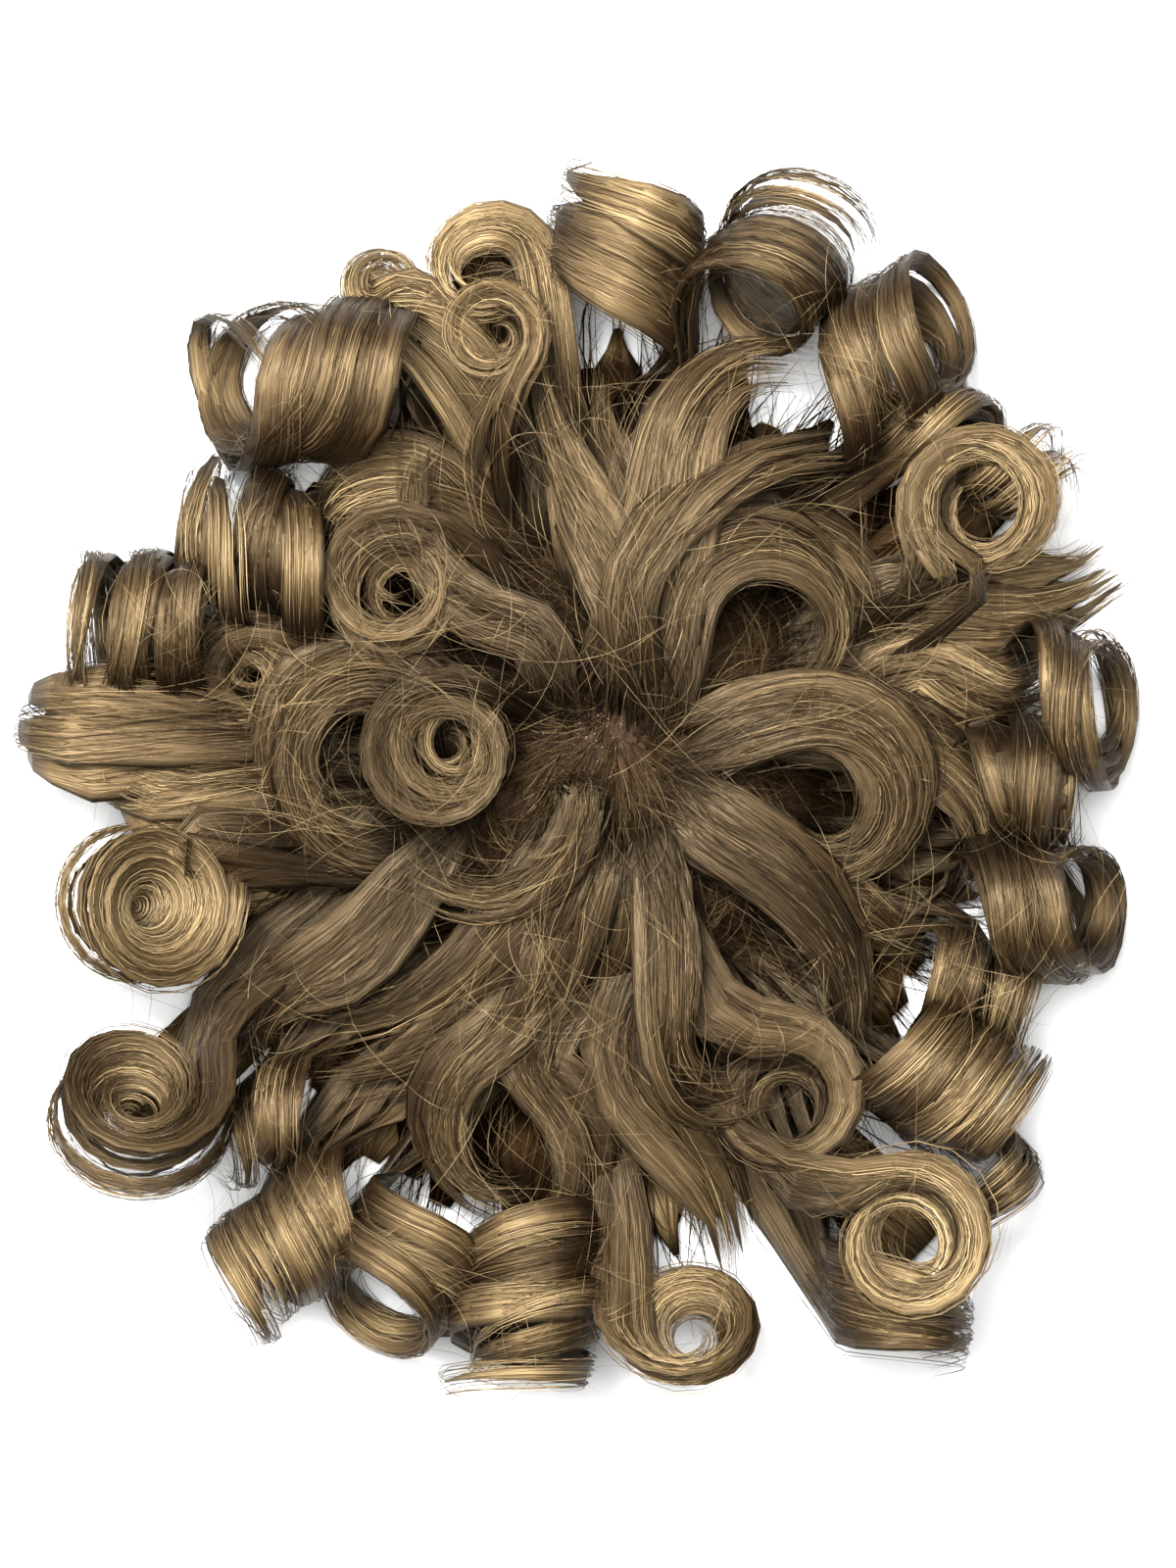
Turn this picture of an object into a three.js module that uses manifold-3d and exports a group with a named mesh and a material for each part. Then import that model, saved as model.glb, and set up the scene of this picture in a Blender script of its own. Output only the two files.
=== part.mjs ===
// A curled hair closure: a domed lace base with locks of hair rooted in it, which sweep out to end in curls.
import * as THREE from "three";
import Module from "manifold-3d";

// Millimetres and degrees. X is to the right, Y to the back of the head and Z up from the table.
const DEG = Math.PI / 180;
const GAP = 0.3;
const SIMPLER = 0.05;
const CLEAR = 0.4;
const BASE = { x: 4, y: 4, halfWidth: 58, halfLength: 64, height: 24, wall: 1.8 };
const FLOOR = { reach: 400, depth: 60 };

// How far from the middle of the base to its edge the locks of each tier are rooted, which tier lies over
// which, how slim a lock is at its root, and the share of its length by which it is full.
const TIERS = {
  crown: { share: 0.22, order: 0, root: 0.7, full: 0.25 },
  inner: { share: 0.58, order: 1, root: 0.55, full: 0.35 },
  outer: { share: 0.88, order: 2, root: 0.3, full: 0.42 },
};

// A lock's section, in shares of its width and thickness, and how it narrows towards its root and tip.
const SECTION = [[0.5, 0], [0, 0.5], [-0.5, 0], [0, -0.5]];
const TAPER = { fall: 0.6, tip: 0.5 };
const THICK = { barrel: 6.5, ring: 10, wave: 7.5 };
const LEAD = { steps: 4, out: 0.9, in: 0.9, slope: 0.5 };
const CURL_STEP = 45;
const CHUNK = 4;

// Corkscrew curls that lie on the table. The lock leaves its root, joins the curl at angle "from" about its
// axis (0 is the top, 90 the left side) and turns by "sweep" while it moves "advance" along the axis.
const BARREL_COLUMNS = [
  "name", "root", "leave", "x", "y", "heading", "dip", "radius", "endRadius", "from", "sweep", "advance",
  "width",
];
const BARREL_ROWS = [
  ["top_tuft", 86, 80, 8, 112, 88, 0, 16, 16, -90, 340, 38, 27],
  ["back_right_loop", 60, 62, 62, 102, 30, 0, 16.5, 17, -95, 540, 32, 22],
  ["back_right_corkscrew", 47, 45, 78, 95, -24, 0, 9.5, 8.5, -90, 800, 56, 18],
  ["right_loop", 20, 15, 112, 21, -3, 0, 16, 16, 100, -540, 22, 17],
  ["right_roll", 4, 8, 108, 0, -8, 0, 14, 13, 95, -350, 20, 26],
  ["right_barrel", -22, -15, 104, -33, 2, 0, 15.5, 15, 95, -540, 29, 24],
  ["right_small_curl", -33, -30, 91, -47, -28, 0, 11, 10, 95, -500, 26, 15],
  ["right_front_barrel", -40, -45, 83, -69, -33, 0, 16, 15, -95, 540, 28, 24],
  ["right_front_end", -50, -42, 100, -97, -78, 0, 9.5, 9, 95, -420, 24, 17],
  ["front_right_barrel", -62, -70, 80, -124, -84, 0, 17, 15, -95, 420, 20, 26],
  ["front_curl", -97, -85, -14, -118, -91, -10, 15.5, 15.5, 95, -620, 34, 22],
  ["front_left_loop", -112, -100, -42, -113, -112, 0, 15.5, 15.5, -95, 540, 28, 20],
  ["front_left_barrel", -128, -120, -66, -110, -150, 0, 14, 13, -95, 560, 32, 21],
  ["left_front_curl", -142, -150, -77, -84, 205, 0, 11, 10, -95, 420, 24, 18],
  ["left_small_roll", 188, 185, -112, -5, 75, 0, 7, 6, -10, 230, 4, 17],
  ["left_roll", 178, 175, -131, 14, 93, 0, 9, 7, -15, 240, 2, 26],
  ["left_loop", 165, 165, -98, 42, 177, 0, 16, 15.5, -95, 820, 34, 14],
  ["left_barrel", 152, 150, -72, 58, 167, 0, 16, 15.5, 95, -540, 31, 22],
  ["back_left_loop", 126, 128, -53, 103, 181, 8, 17, 16.5, -95, 560, 42, 24],
];

// Rings that stand on edge or lean. With a dip of 90 the axis points straight down, and "from" is counted from
// the heading.
const RING_COLUMNS = [
  "name", "tier", "root", "leave", "x", "y", "z", "heading", "dip", "radius", "endRadius", "from", "sweep",
  "advance", "width",
];
const RING_ROWS = [
  ["rosette", "crown", 150, 150, -36, 9, 38, 0, 88, 18, 5.5, 75, 760, 10, 12],
  ["front_right_ring", "crown", -68, -60, 50, -79, 32, -90, 78, 15.5, 6, 200, -600, 14, 12],
  ["left_inner_ring", "inner", 125, 125, -48, 48, 29, 0, 82, 16.5, 6, 110, 560, 10, 12],
  ["left_small_ring", "outer", 161, 158, -86, 27, 20, 0, 85, 11, 3.5, 70, 480, 8, 11],
  ["back_left_ring", "outer", 116, 105, -24, 114, 24, 0, 78, 13.5, 5.5, -50, 520, 12, 12],
  ["back_left_crest", "outer", 101, 98, -27, 134, 22, -90, 62, 15.5, 9, 95, 460, 14, 12],
  ["right_ring", "outer", 30, 25, 98, 71, 33, 0, 80, 15, 5.5, 235, -600, 16, 12],
  ["top_loop_right", "outer", 74, 85, 40, 121, 34, 55, 32, 15.5, 15.5, 100, -600, 34, 16],
  ["front_right_rosette", "outer", -75, -80, 82, -113, 33, -90, 80, 18, 5.5, 225, -680, 14, 12],
  ["front_ring", "outer", -86, -95, 26, -136, 27, -90, 58, 17, 7, -110, 620, 12, 13],
  ["left_front_ring", "outer", -156, -165, -113, -75, 35, -105, 55, 20, 11, 135, -680, 26, 13],
  ["left_ring", "outer", 200, 195, -109, -30, 35, 180, 55, 16, 10, -140, -860, 28, 12],
];

// Waves that lie flat: an arc in plan about (x, y), from one angle through "sweep", sinking by "drop".
const WAVE_COLUMNS = [
  "name", "tier", "root", "leave", "x", "y", "z", "radius", "endRadius", "from", "sweep", "drop", "width",
];
const WAVE_ROWS = [
  ["crown_back_left", "crown", 125, 165, -8, 62, 29, 22, 42, 250, -112, 6, 15],
  ["crown_back", "crown", 95, 105, 136, 128, 31, 150, 150, 212, -22, 4, 16],
  ["crown_back_right", "crown", 72, 90, 45, 82, 29, 27, 26, 185, -115, 4, 21],
  ["crown_right_back", "crown", 48, 65, 58, 30, 34, 53, 57, 155, -75, 7, 15],
  ["crown_right_hook", "crown", 25, 60, 44, 42, 29, 20, 18, 165, -235, 8, 16],
  ["crown_right", "crown", 2, 15, 62, -5, 28, 23, 12, 105, -240, 6, 18],
  ["crown_front_right", "crown", -22, -15, 22, -58, 28, 44, 44, 70, -85, 4, 22],
  ["crown_front_wisp", "crown", -50, -62, 33, -66, 36, 14, 13, 165, 130, 8, 12],
  ["crown_front", "crown", -85, -85, -45, -25, 28, 48, 48, 0, -62, 4, 28],
  ["crown_front_left", "crown", -112, -105, -67, -3, 30, 60, 60, -22, -70, 8, 17],
  ["crown_left_hook", "crown", -150, -75, -25, -3, 36, 25, 26, 0, -138, 5, 12],
  ["back_sweep", "inner", 88, 90, 153, 95, 23, 150, 150, 190, -14, 3, 22],
  ["right_back_arc", "inner", 62, 72, 46, 42, 18, 27, 28, 132, -160, 4, 17],
  ["right_arc", "inner", 15, 10, 75, -13, 18, 27, 26, 85, -135, 4, 17],
  ["right_sweep", "inner", -15, -22, 115, 50, 17, 95, 95, 236, 20, 4, 20],
  ["front_right_sweep", "inner", -64, -55, -22, -127, 17, 60, 60, 60, -42, 3, 18],
  ["front_arc", "inner", -84, -80, -22, -97, 19, 24, 22, 60, -165, 4, 21],
  ["front_left_arc", "inner", -104, -115, -17, -87, 24, 21, 20, 125, 150, 4, 18],
  ["front_left_sweep", "inner", -122, -112, -64, -22, 18, 55, 55, -20, -74, 5, 18],
  ["left_front_sweep", "inner", -160, -155, -70, -62, 17, 15, 14, 100, 125, 6, 18],
  ["rosette_outer_arc", "inner", 180, 150, -55, 9, 24, 20, 19, 60, 190, 4, 13],
  ["left_long_arc", "inner", 155, 155, -52, 8, 19, 27, 26, 142, 140, 4, 15],
  ["left_low_arc", "outer", 194, 195, -72, 2, 11, 17, 16, -70, -120, 2, 16],
  ["back_left_sweep", "outer", 117, 125, -50, 62, 17, 18, 18, 70, 110, 4, 18],
  ["back_left_tail", "outer", 108, 112, -56, 129.5, 20, 6, 4, -92, -330, 6, 13],
  ["right_tuft", "outer", 24, 24, 103, 92, 12, 47, 48, -100, 54, 2, 22],
  ["right_smile", "outer", 12, 5, 104, 40, 13, 18, 18, 205, 118, 2, 17],
];

// Straight hair from the edge of the base that lies on the table under the curls, in tongues.
const UNDER = { x: 1, y: -3, tongues: 30, reach: 104, valley: 93, thick: 2.4, ringSides: 24 };

const mix = (a, b, share) => a + (b - a) * share;
const named = (columns, row) => Object.fromEntries(columns.map((column, k) => [column, row[k]]));
const table = (columns, rows) => rows.map((row) => named(columns, row));

/** The height of the base's outer face at a share of the way from its middle to its edge. */
const BASE_SPAN = Math.sqrt(BASE.halfWidth * BASE.halfLength);
const BASE_SPHERE = (BASE_SPAN ** 2 + BASE.height ** 2) / (2 * BASE.height);
function baseHeight(share) {
  return Math.sqrt(BASE_SPHERE ** 2 - (BASE_SPAN * share) ** 2) - (BASE_SPHERE - BASE.height);
}

/** The dome as a solid of revolution drawn out to an oval: "spare" grows it, and a wall of 0 fills it. */
function domeGeometry(spare, wall) {
  const rings = 6;
  const outer = [];
  const inner = [];
  for (let k = 0; k <= rings; k += 1) {
    const share = k / rings;
    outer.push(new THREE.Vector2(share * (BASE_SPAN + spare), baseHeight(share) + spare * (1 - share)));
    inner.push(new THREE.Vector2(share * (BASE_SPAN - wall), baseHeight(share) - wall * (1 - share)));
  }
  const filled = [new THREE.Vector2(0, -spare), new THREE.Vector2(BASE_SPAN + spare, -spare)];
  const lower = wall > 0 ? inner : filled;
  const profile = [...lower, ...outer.reverse()];
  const dome = new THREE.LatheGeometry(profile, 24).rotateX(Math.PI / 2);
  dome.scale(BASE.halfWidth / BASE_SPAN, BASE.halfLength / BASE_SPAN, 1);
  return dome.translate(BASE.x, BASE.y, 0);
}

/** The flat tongues of hair round the base as one plate: "spare" grows it outwards and upwards. */
function underGeometry(spare) {
  const outline = [];
  for (let k = 0; k < 2 * UNDER.tongues; k += 1) {
    const around = Math.PI * k / UNDER.tongues;
    const reach = (k % 2 ? UNDER.valley : UNDER.reach) + spare;
    const tip = new THREE.Vector2(reach * Math.cos(around), reach * Math.sin(around));
    outline.push(tip.add(new THREE.Vector2(UNDER.x, UNDER.y)));
  }
  const shape = new THREE.Shape(outline);
  const rim = [];
  for (let k = 0; k < UNDER.ringSides; k += 1) {
    const around = -2 * Math.PI * k / UNDER.ringSides;
    const across = BASE.halfWidth + GAP - spare;
    const along = BASE.halfLength + GAP - spare;
    const edge = new THREE.Vector2(across * Math.sin(around), along * Math.cos(around));
    rim.push(edge.add(new THREE.Vector2(BASE.x, BASE.y)));
  }
  shape.holes.push(new THREE.Path(rim));
  return new THREE.ExtrudeGeometry(shape, { depth: UNDER.thick + spare, bevelEnabled: false });
}

/** The points of a lock's curl, each with the direction that its broad face looks in. */
function curlFrames(lock) {
  const turn = lock.heading * DEG;
  const dip = lock.dip * DEG;
  const ahead = new THREE.Vector3(Math.cos(turn), Math.sin(turn), 0);
  const up = new THREE.Vector3(0, 0, 1);
  const axis = ahead.clone().multiplyScalar(Math.cos(dip)).addScaledVector(up, -Math.sin(dip));
  const rise = ahead.clone().multiplyScalar(Math.sin(dip)).addScaledVector(up, Math.cos(dip));
  const side = new THREE.Vector3(-Math.sin(turn), Math.cos(turn), 0);
  const steps = Math.max(4, Math.round(Math.abs(lock.sweep) / CURL_STEP));
  const frames = [];
  for (let k = 0; k <= steps; k += 1) {
    const share = k / steps;
    const angle = (lock.from + lock.sweep * share) * DEG;
    const outward = rise.clone().multiplyScalar(Math.cos(angle)).addScaledVector(side, Math.sin(angle));
    const point = new THREE.Vector3(lock.x, lock.y, lock.z)
      .addScaledVector(axis, lock.advance * share)
      .addScaledVector(outward, mix(lock.radius, lock.endRadius, share));
    frames.push({ point, face: lock.flat ? axis.clone().negate() : outward });
  }
  return frames;
}

/** Where a lock is rooted on the base, and the direction that the base faces there. */
function rootOf(lock) {
  const { share, root } = TIERS[lock.tier];
  const reach = new THREE.Vector2(Math.cos(lock.root * DEG), Math.sin(lock.root * DEG)).multiplyScalar(share);
  const height = baseHeight(share) + GAP + 0.5 * lock.thick * Math.sqrt(root);
  const point = new THREE.Vector3(BASE.halfWidth * reach.x, BASE.halfLength * reach.y, height);
  point.add(new THREE.Vector3(BASE.x, BASE.y, 0));
  const lean = BASE_SPAN / BASE_SPHERE;
  const face = new THREE.Vector3(reach.x * lean, reach.y * lean, 1).normalize();
  const fall = BASE_SPAN * share / Math.sqrt(BASE_SPHERE ** 2 - (BASE_SPAN * share) ** 2);
  return { point, face, fall };
}

/** The points of a lock from its root on the base up to the start of its curl. */
function leadPoints(lock, root, curl) {
  const sink = LEAD.slope * root.fall;
  const leave = new THREE.Vector3(Math.cos(lock.leave * DEG), Math.sin(lock.leave * DEG), -sink).normalize();
  const end = curl[0].point;
  const arrive = curl[1].point.clone().sub(end).normalize();
  const reach = root.point.distanceTo(end);
  const points = [];
  for (let k = 0; k < LEAD.steps; k += 1) {
    const t = k / LEAD.steps;
    points.push(new THREE.Vector3()
      .addScaledVector(root.point, 2 * t ** 3 - 3 * t ** 2 + 1)
      .addScaledVector(leave, (t ** 3 - 2 * t ** 2 + t) * reach * LEAD.out)
      .addScaledVector(end, -2 * t ** 3 + 3 * t ** 2)
      .addScaledVector(arrive, (t ** 3 - t ** 2) * reach * LEAD.in));
  }
  return points;
}

/** A direction made square to another. */
function square(face, along) {
  return face.clone().addScaledVector(along, -face.dot(along)).normalize();
}

/** A lock's points, the way it runs at each and the way its face looks: the lead twists into the curl. */
function lockFrames(lock) {
  const curl = curlFrames(lock);
  const root = rootOf(lock);
  const points = [...leadPoints(lock, root, curl), ...curl.map(({ point }) => point)];
  const runs = points.map((point, k) => {
    const before = points[Math.max(0, k - 1)];
    const after = points[Math.min(points.length - 1, k + 1)];
    return after.clone().sub(before).normalize();
  });
  const carried = [square(root.face, runs[0])];
  for (let k = 1; k <= LEAD.steps; k += 1) {
    carried.push(square(carried[k - 1], runs[k]));
  }
  const joint = runs[LEAD.steps];
  const wanted = square(curl[0].face, joint);
  const arrived = carried[LEAD.steps];
  const twist = Math.atan2(new THREE.Vector3().crossVectors(arrived, wanted).dot(joint), arrived.dot(wanted));
  return points.map((point, k) => {
    const along = runs[k];
    if (k < LEAD.steps) {
      return { point, along, up: carried[k].applyAxisAngle(along, twist * k / LEAD.steps) };
    }
    return { point, along, up: square(curl[k - LEAD.steps].face, along) };
  });
}

/** How full a lock is at a share of its length. */
function fullness(tier, share) {
  if (share < tier.full) {
    return mix(tier.root, 1, share / tier.full);
  }
  if (share < TAPER.fall) {
    return 1;
  }
  return mix(1, TAPER.tip, (share - TAPER.fall) / (1 - TAPER.fall));
}

/** A closed skin over rings of points, with a fan across each end. */
function skinGeometry(rings) {
  const sides = rings[0].length;
  const points = rings.flat();
  const faces = [];
  for (let k = 0; k + 1 < rings.length; k += 1) {
    for (let j = 0; j < sides; j += 1) {
      const a = k * sides + j;
      const b = k * sides + (j + 1) % sides;
      faces.push(a, b, b + sides, a, b + sides, a + sides);
    }
  }
  const last = points.length - sides;
  for (let j = 1; j + 1 < sides; j += 1) {
    faces.push(0, j + 1, j, last, last + j, last + j + 1);
  }
  return new THREE.BufferGeometry().setFromPoints(points).setIndex(faces);
}

/** A lock as a flat tapering band along its lead and its curl, in rings of points: "spare" grows it. */
function lockRings(lock, spare) {
  const frames = lockFrames(lock);
  const lengths = [0];
  for (let k = 1; k < frames.length; k += 1) {
    lengths.push(lengths[k - 1] + frames[k].point.distanceTo(frames[k - 1].point));
  }
  return frames.map(({ point, along, up }, k) => {
    const across = new THREE.Vector3().crossVectors(up, along);
    const full = fullness(TIERS[lock.tier], lengths[k] / lengths[lengths.length - 1]);
    const ends = (k === frames.length - 1) - (k === 0);
    const width = lock.width * full + 2 * spare;
    const thick = lock.thick * Math.sqrt(full) + 2 * spare;
    const middle = point.clone().addScaledVector(along, ends * spare);
    return SECTION.map(([a, b]) => {
      return middle.clone().addScaledVector(across, a * width).addScaledVector(up, b * thick);
    });
  });
}

const { Manifold, Mesh } = await Module().then((wasm) => {
  wasm.setup();
  return wasm;
});

/** A closed geometry as a solid that can be cut. */
function solidOf(geometry) {
  const keys = new Map();
  const points = [];
  const position = geometry.getAttribute("position");
  const merged = [];
  for (let k = 0; k < position.count; k += 1) {
    const place = [position.getX(k), position.getY(k), position.getZ(k)];
    const key = place.map((value) => Math.round(value * 1e4)).join(" ");
    if (!keys.has(key)) {
      keys.set(key, points.length / 3);
      points.push(...place);
    }
    merged.push(keys.get(key));
  }
  const corners = geometry.index ? Array.from(geometry.index.array, (k) => merged[k]) : merged;
  const faces = [];
  for (let k = 0; k < corners.length; k += 3) {
    const [a, b, c] = corners.slice(k, k + 3);
    if (a !== b && b !== c && c !== a) {
      faces.push(a, b, c);
    }
  }
  const solid = new Manifold(new Mesh({
    numProp: 3,
    vertProperties: Float32Array.from(points),
    triVerts: Uint32Array.from(faces),
  }));
  return solid;
}

/** A lock as one solid, joined from short lengths so that its turns may touch each other. */
function lockSolid(lock, spare) {
  const rings = lockRings(lock, spare);
  const lengths = [];
  for (let k = 0; k + 1 < rings.length; k += CHUNK) {
    lengths.push(solidOf(skinGeometry(rings.slice(k, k + CHUNK + 1))));
  }
  return Manifold.union(lengths);
}

/** A cut solid as a geometry again. */
function geometryOf(solid) {
  const mesh = solid.getMesh();
  const count = mesh.numProp;
  const points = new Float32Array(mesh.numVert * 3);
  for (let k = 0; k < mesh.numVert; k += 1) {
    points.set(mesh.vertProperties.subarray(k * count, k * count + 3), k * 3);
  }
  const geometry = new THREE.BufferGeometry();
  geometry.setAttribute("position", new THREE.BufferAttribute(points, 3));
  geometry.setIndex(Array.from(mesh.triVerts));
  geometry.computeVertexNormals();
  return geometry;
}

const hair = new THREE.MeshStandardMaterial({ color: 0x8a7150, roughness: 0.55, name: "hair" });
const lace = new THREE.MeshStandardMaterial({ color: 0x6e4e37, roughness: 0.9, name: "lace" });
const closure = new THREE.Group();
closure.name = "hair_closure";

function add(name, geometry, material) {
  const mesh = new THREE.Mesh(geometry, material);
  mesh.name = name;
  closure.add(mesh);
}

add("lace_base", domeGeometry(0, BASE.wall), lace);
add("under_hair", underGeometry(0), hair);

const locks = [
  ...table(RING_COLUMNS, RING_ROWS).map((row) => ({ ...row, thick: THICK.ring })),
  ...table(WAVE_COLUMNS, WAVE_ROWS).map((row) => ({
    ...row, thick: THICK.wave, heading: 0, dip: 90, advance: row.drop, flat: true,
  })),
  ...table(BARREL_COLUMNS, BARREL_ROWS).map((row) => ({
    ...row, thick: THICK.barrel, tier: "outer", z: row.radius + THICK.barrel / 2,
  })),
].sort((a, b) => TIERS[a.tier].order - TIERS[b.tier].order);

// The table top and the base trim every lock, and a lock higher in the pile trims the ones under it.
const floor = new THREE.BoxGeometry(FLOOR.reach, FLOOR.reach, FLOOR.depth).translate(0, 0, -FLOOR.depth / 2);
const keepOut = [solidOf(floor), solidOf(domeGeometry(GAP, 0)), solidOf(underGeometry(GAP))];
for (const lock of locks) {
  const uncut = lockSolid(lock, 0);
  const bodies = Manifold.difference([uncut, ...keepOut]).simplify(SIMPLER).decompose();
  bodies.sort((a, b) => b.volume() - a.volume());
  add(lock.name, geometryOf(bodies[0]), hair);
  keepOut.push(lockSolid(lock, CLEAR));
}

// The origin is on the table, under the middle of the whole piece.
const whole = new THREE.Box3().setFromObject(closure);
const middle = whole.getCenter(new THREE.Vector3());
closure.position.set(-middle.x, -middle.y, -whole.min.z);

export default closure;
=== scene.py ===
"""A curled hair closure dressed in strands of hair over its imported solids, with a studio round it."""

import math
from types import SimpleNamespace as Values

import bpy
import numpy as np
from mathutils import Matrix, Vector


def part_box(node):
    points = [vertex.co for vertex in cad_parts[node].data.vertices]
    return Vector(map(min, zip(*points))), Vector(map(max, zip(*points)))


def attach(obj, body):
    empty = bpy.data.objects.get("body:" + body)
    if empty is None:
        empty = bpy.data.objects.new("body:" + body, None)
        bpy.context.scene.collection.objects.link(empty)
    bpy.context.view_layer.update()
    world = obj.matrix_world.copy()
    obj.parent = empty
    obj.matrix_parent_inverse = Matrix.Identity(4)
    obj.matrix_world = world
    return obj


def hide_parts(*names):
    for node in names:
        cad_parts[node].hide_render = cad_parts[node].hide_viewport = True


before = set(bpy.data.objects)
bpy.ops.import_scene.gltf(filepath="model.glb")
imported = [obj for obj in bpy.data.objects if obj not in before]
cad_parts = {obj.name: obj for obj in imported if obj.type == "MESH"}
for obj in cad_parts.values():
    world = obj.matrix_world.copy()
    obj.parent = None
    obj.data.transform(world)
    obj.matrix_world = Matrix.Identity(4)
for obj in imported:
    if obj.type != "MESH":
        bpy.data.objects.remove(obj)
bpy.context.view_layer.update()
RANDOM = np.random.default_rng(21)

# Sizes are in millimetres and degrees, as in the part's source, and become metres when a mesh is made.
MM = 0.001
UP = np.array([0.0, 0.0, 1.0])
BASE = Values(x=4, y=4, half_width=58, half_length=64, height=24, wall=1.8)
BASE_MIDDLE = np.array([BASE.x, BASE.y])
BASE_HALF = np.array([BASE.half_width, BASE.half_length])
BASE_SPAN = math.sqrt(BASE.half_width * BASE.half_length)
BASE_SPHERE = (BASE_SPAN**2 + BASE.height**2) / (2 * BASE.height)
GAP = 0.3
FLOOR_LIFT = 0.25
TIERS = {
    "crown": Values(share=0.22, root=0.7, full=0.25, broad=0.9, tone=0.3),
    "inner": Values(share=0.58, root=0.55, full=0.35, broad=0.9, tone=0.32),
    "outer": Values(share=0.88, root=0.3, full=0.42, broad=1.05, tone=0.52),
}
THICK = Values(barrel=6.5, ring=10, wave=7.5)
# How many samples of a lock's line go into one ring of points.
COARSE = Values(barrel=5, loop=4, ring=4, wave=3)
LEAD = Values(out=0.9, arrive=0.9, slope=0.5, samples=16)
CURL_STEP = 6
LEAST_STEPS = 12
PAST_TIP = 0.05
JUST_INSIDE = 1.001
# Closed barrels end at their underside, where their tips are tucked in.
UNDERSIDE = 180
SOFTEN = 10

# Corkscrew curls that lie on the table, with the columns of the part's source.
BARREL_COLUMNS = "name root leave x y heading dip radius end_radius start sweep advance width"
BARREL_ROWS = [
    ("top_tuft", 86, 80, 8, 112, 88, 0, 16, 16, -90, 340, 38, 27),
    ("back_right_loop", 60, 62, 62, 102, 30, 0, 16.5, 17, -95, 540, 32, 22),
    ("back_right_corkscrew", 47, 45, 78, 95, -24, 0, 9.5, 8.5, -90, 800, 56, 18),
    ("right_loop", 20, 15, 112, 21, -3, 0, 16, 16, 100, -540, 22, 17),
    ("right_roll", 4, 8, 108, 0, -8, 0, 14, 13, 95, -350, 20, 26),
    ("right_barrel", -22, -15, 104, -33, 2, 0, 15.5, 15, 95, -540, 29, 24),
    ("right_small_curl", -33, -30, 91, -47, -28, 0, 11, 10, 95, -500, 26, 15),
    ("right_front_barrel", -40, -45, 83, -69, -33, 0, 16, 15, -95, 540, 28, 24),
    ("right_front_end", -50, -42, 100, -97, -78, 0, 9.5, 9, 95, -420, 24, 17),
    ("front_right_barrel", -62, -70, 80, -124, -84, 0, 17, 15, -95, 420, 20, 26),
    ("front_curl", -97, -85, -14, -118, -91, -10, 15.5, 15.5, 95, -620, 34, 22),
    ("front_left_loop", -112, -100, -42, -113, -112, 0, 15.5, 15.5, -95, 540, 28, 20),
    ("front_left_barrel", -128, -120, -66, -110, -150, 0, 14, 13, -95, 560, 32, 21),
    ("left_front_curl", -142, -150, -77, -84, 205, 0, 11, 10, -95, 420, 24, 18),
    ("left_small_roll", 188, 185, -112, -5, 75, 0, 7, 6, -10, 230, 4, 17),
    ("left_roll", 178, 175, -131, 14, 93, 0, 9, 7, -15, 240, 2, 26),
    ("left_loop", 165, 165, -98, 42, 177, 0, 16, 15.5, -95, 820, 34, 14),
    ("left_barrel", 152, 150, -72, 58, 167, 0, 16, 15.5, 95, -540, 31, 22),
    ("back_left_loop", 126, 128, -53, 103, 181, 8, 17, 16.5, -95, 560, 42, 24),
]

# Rings that stand on edge or lean.
RING_COLUMNS = "name tier root leave x y z heading dip radius end_radius start sweep advance width"
RING_ROWS = [
    ("rosette", "crown", 150, 150, -36, 9, 38, 0, 88, 18, 5.5, 75, 760, 10, 12),
    ("front_right_ring", "crown", -68, -60, 50, -79, 32, -90, 78, 15.5, 6, 200, -600, 14, 12),
    ("left_inner_ring", "inner", 125, 125, -48, 48, 29, 0, 82, 16.5, 6, 110, 560, 10, 12),
    ("left_small_ring", "outer", 161, 158, -86, 27, 20, 0, 85, 11, 3.5, 70, 480, 8, 11),
    ("back_left_ring", "outer", 116, 105, -24, 114, 24, 0, 78, 13.5, 5.5, -50, 520, 12, 12),
    ("back_left_crest", "outer", 101, 98, -27, 134, 22, -90, 62, 15.5, 9, 95, 460, 14, 12),
    ("right_ring", "outer", 30, 25, 98, 71, 33, 0, 80, 15, 5.5, 235, -600, 16, 12),
    ("top_loop_right", "outer", 74, 85, 40, 121, 34, 55, 32, 15.5, 15.5, 100, -600, 34, 16),
    ("front_right_rosette", "outer", -75, -80, 82, -113, 33, -90, 80, 18, 5.5, 225, -680, 14, 12),
    ("front_ring", "outer", -86, -95, 26, -136, 27, -90, 58, 17, 7, -110, 620, 12, 13),
    ("left_front_ring", "outer", -156, -165, -113, -75, 35, -105, 55, 20, 11, 135, -680, 26, 13),
    ("left_ring", "outer", 200, 195, -109, -30, 35, 180, 55, 16, 10, -140, -860, 28, 12),
]

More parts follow.
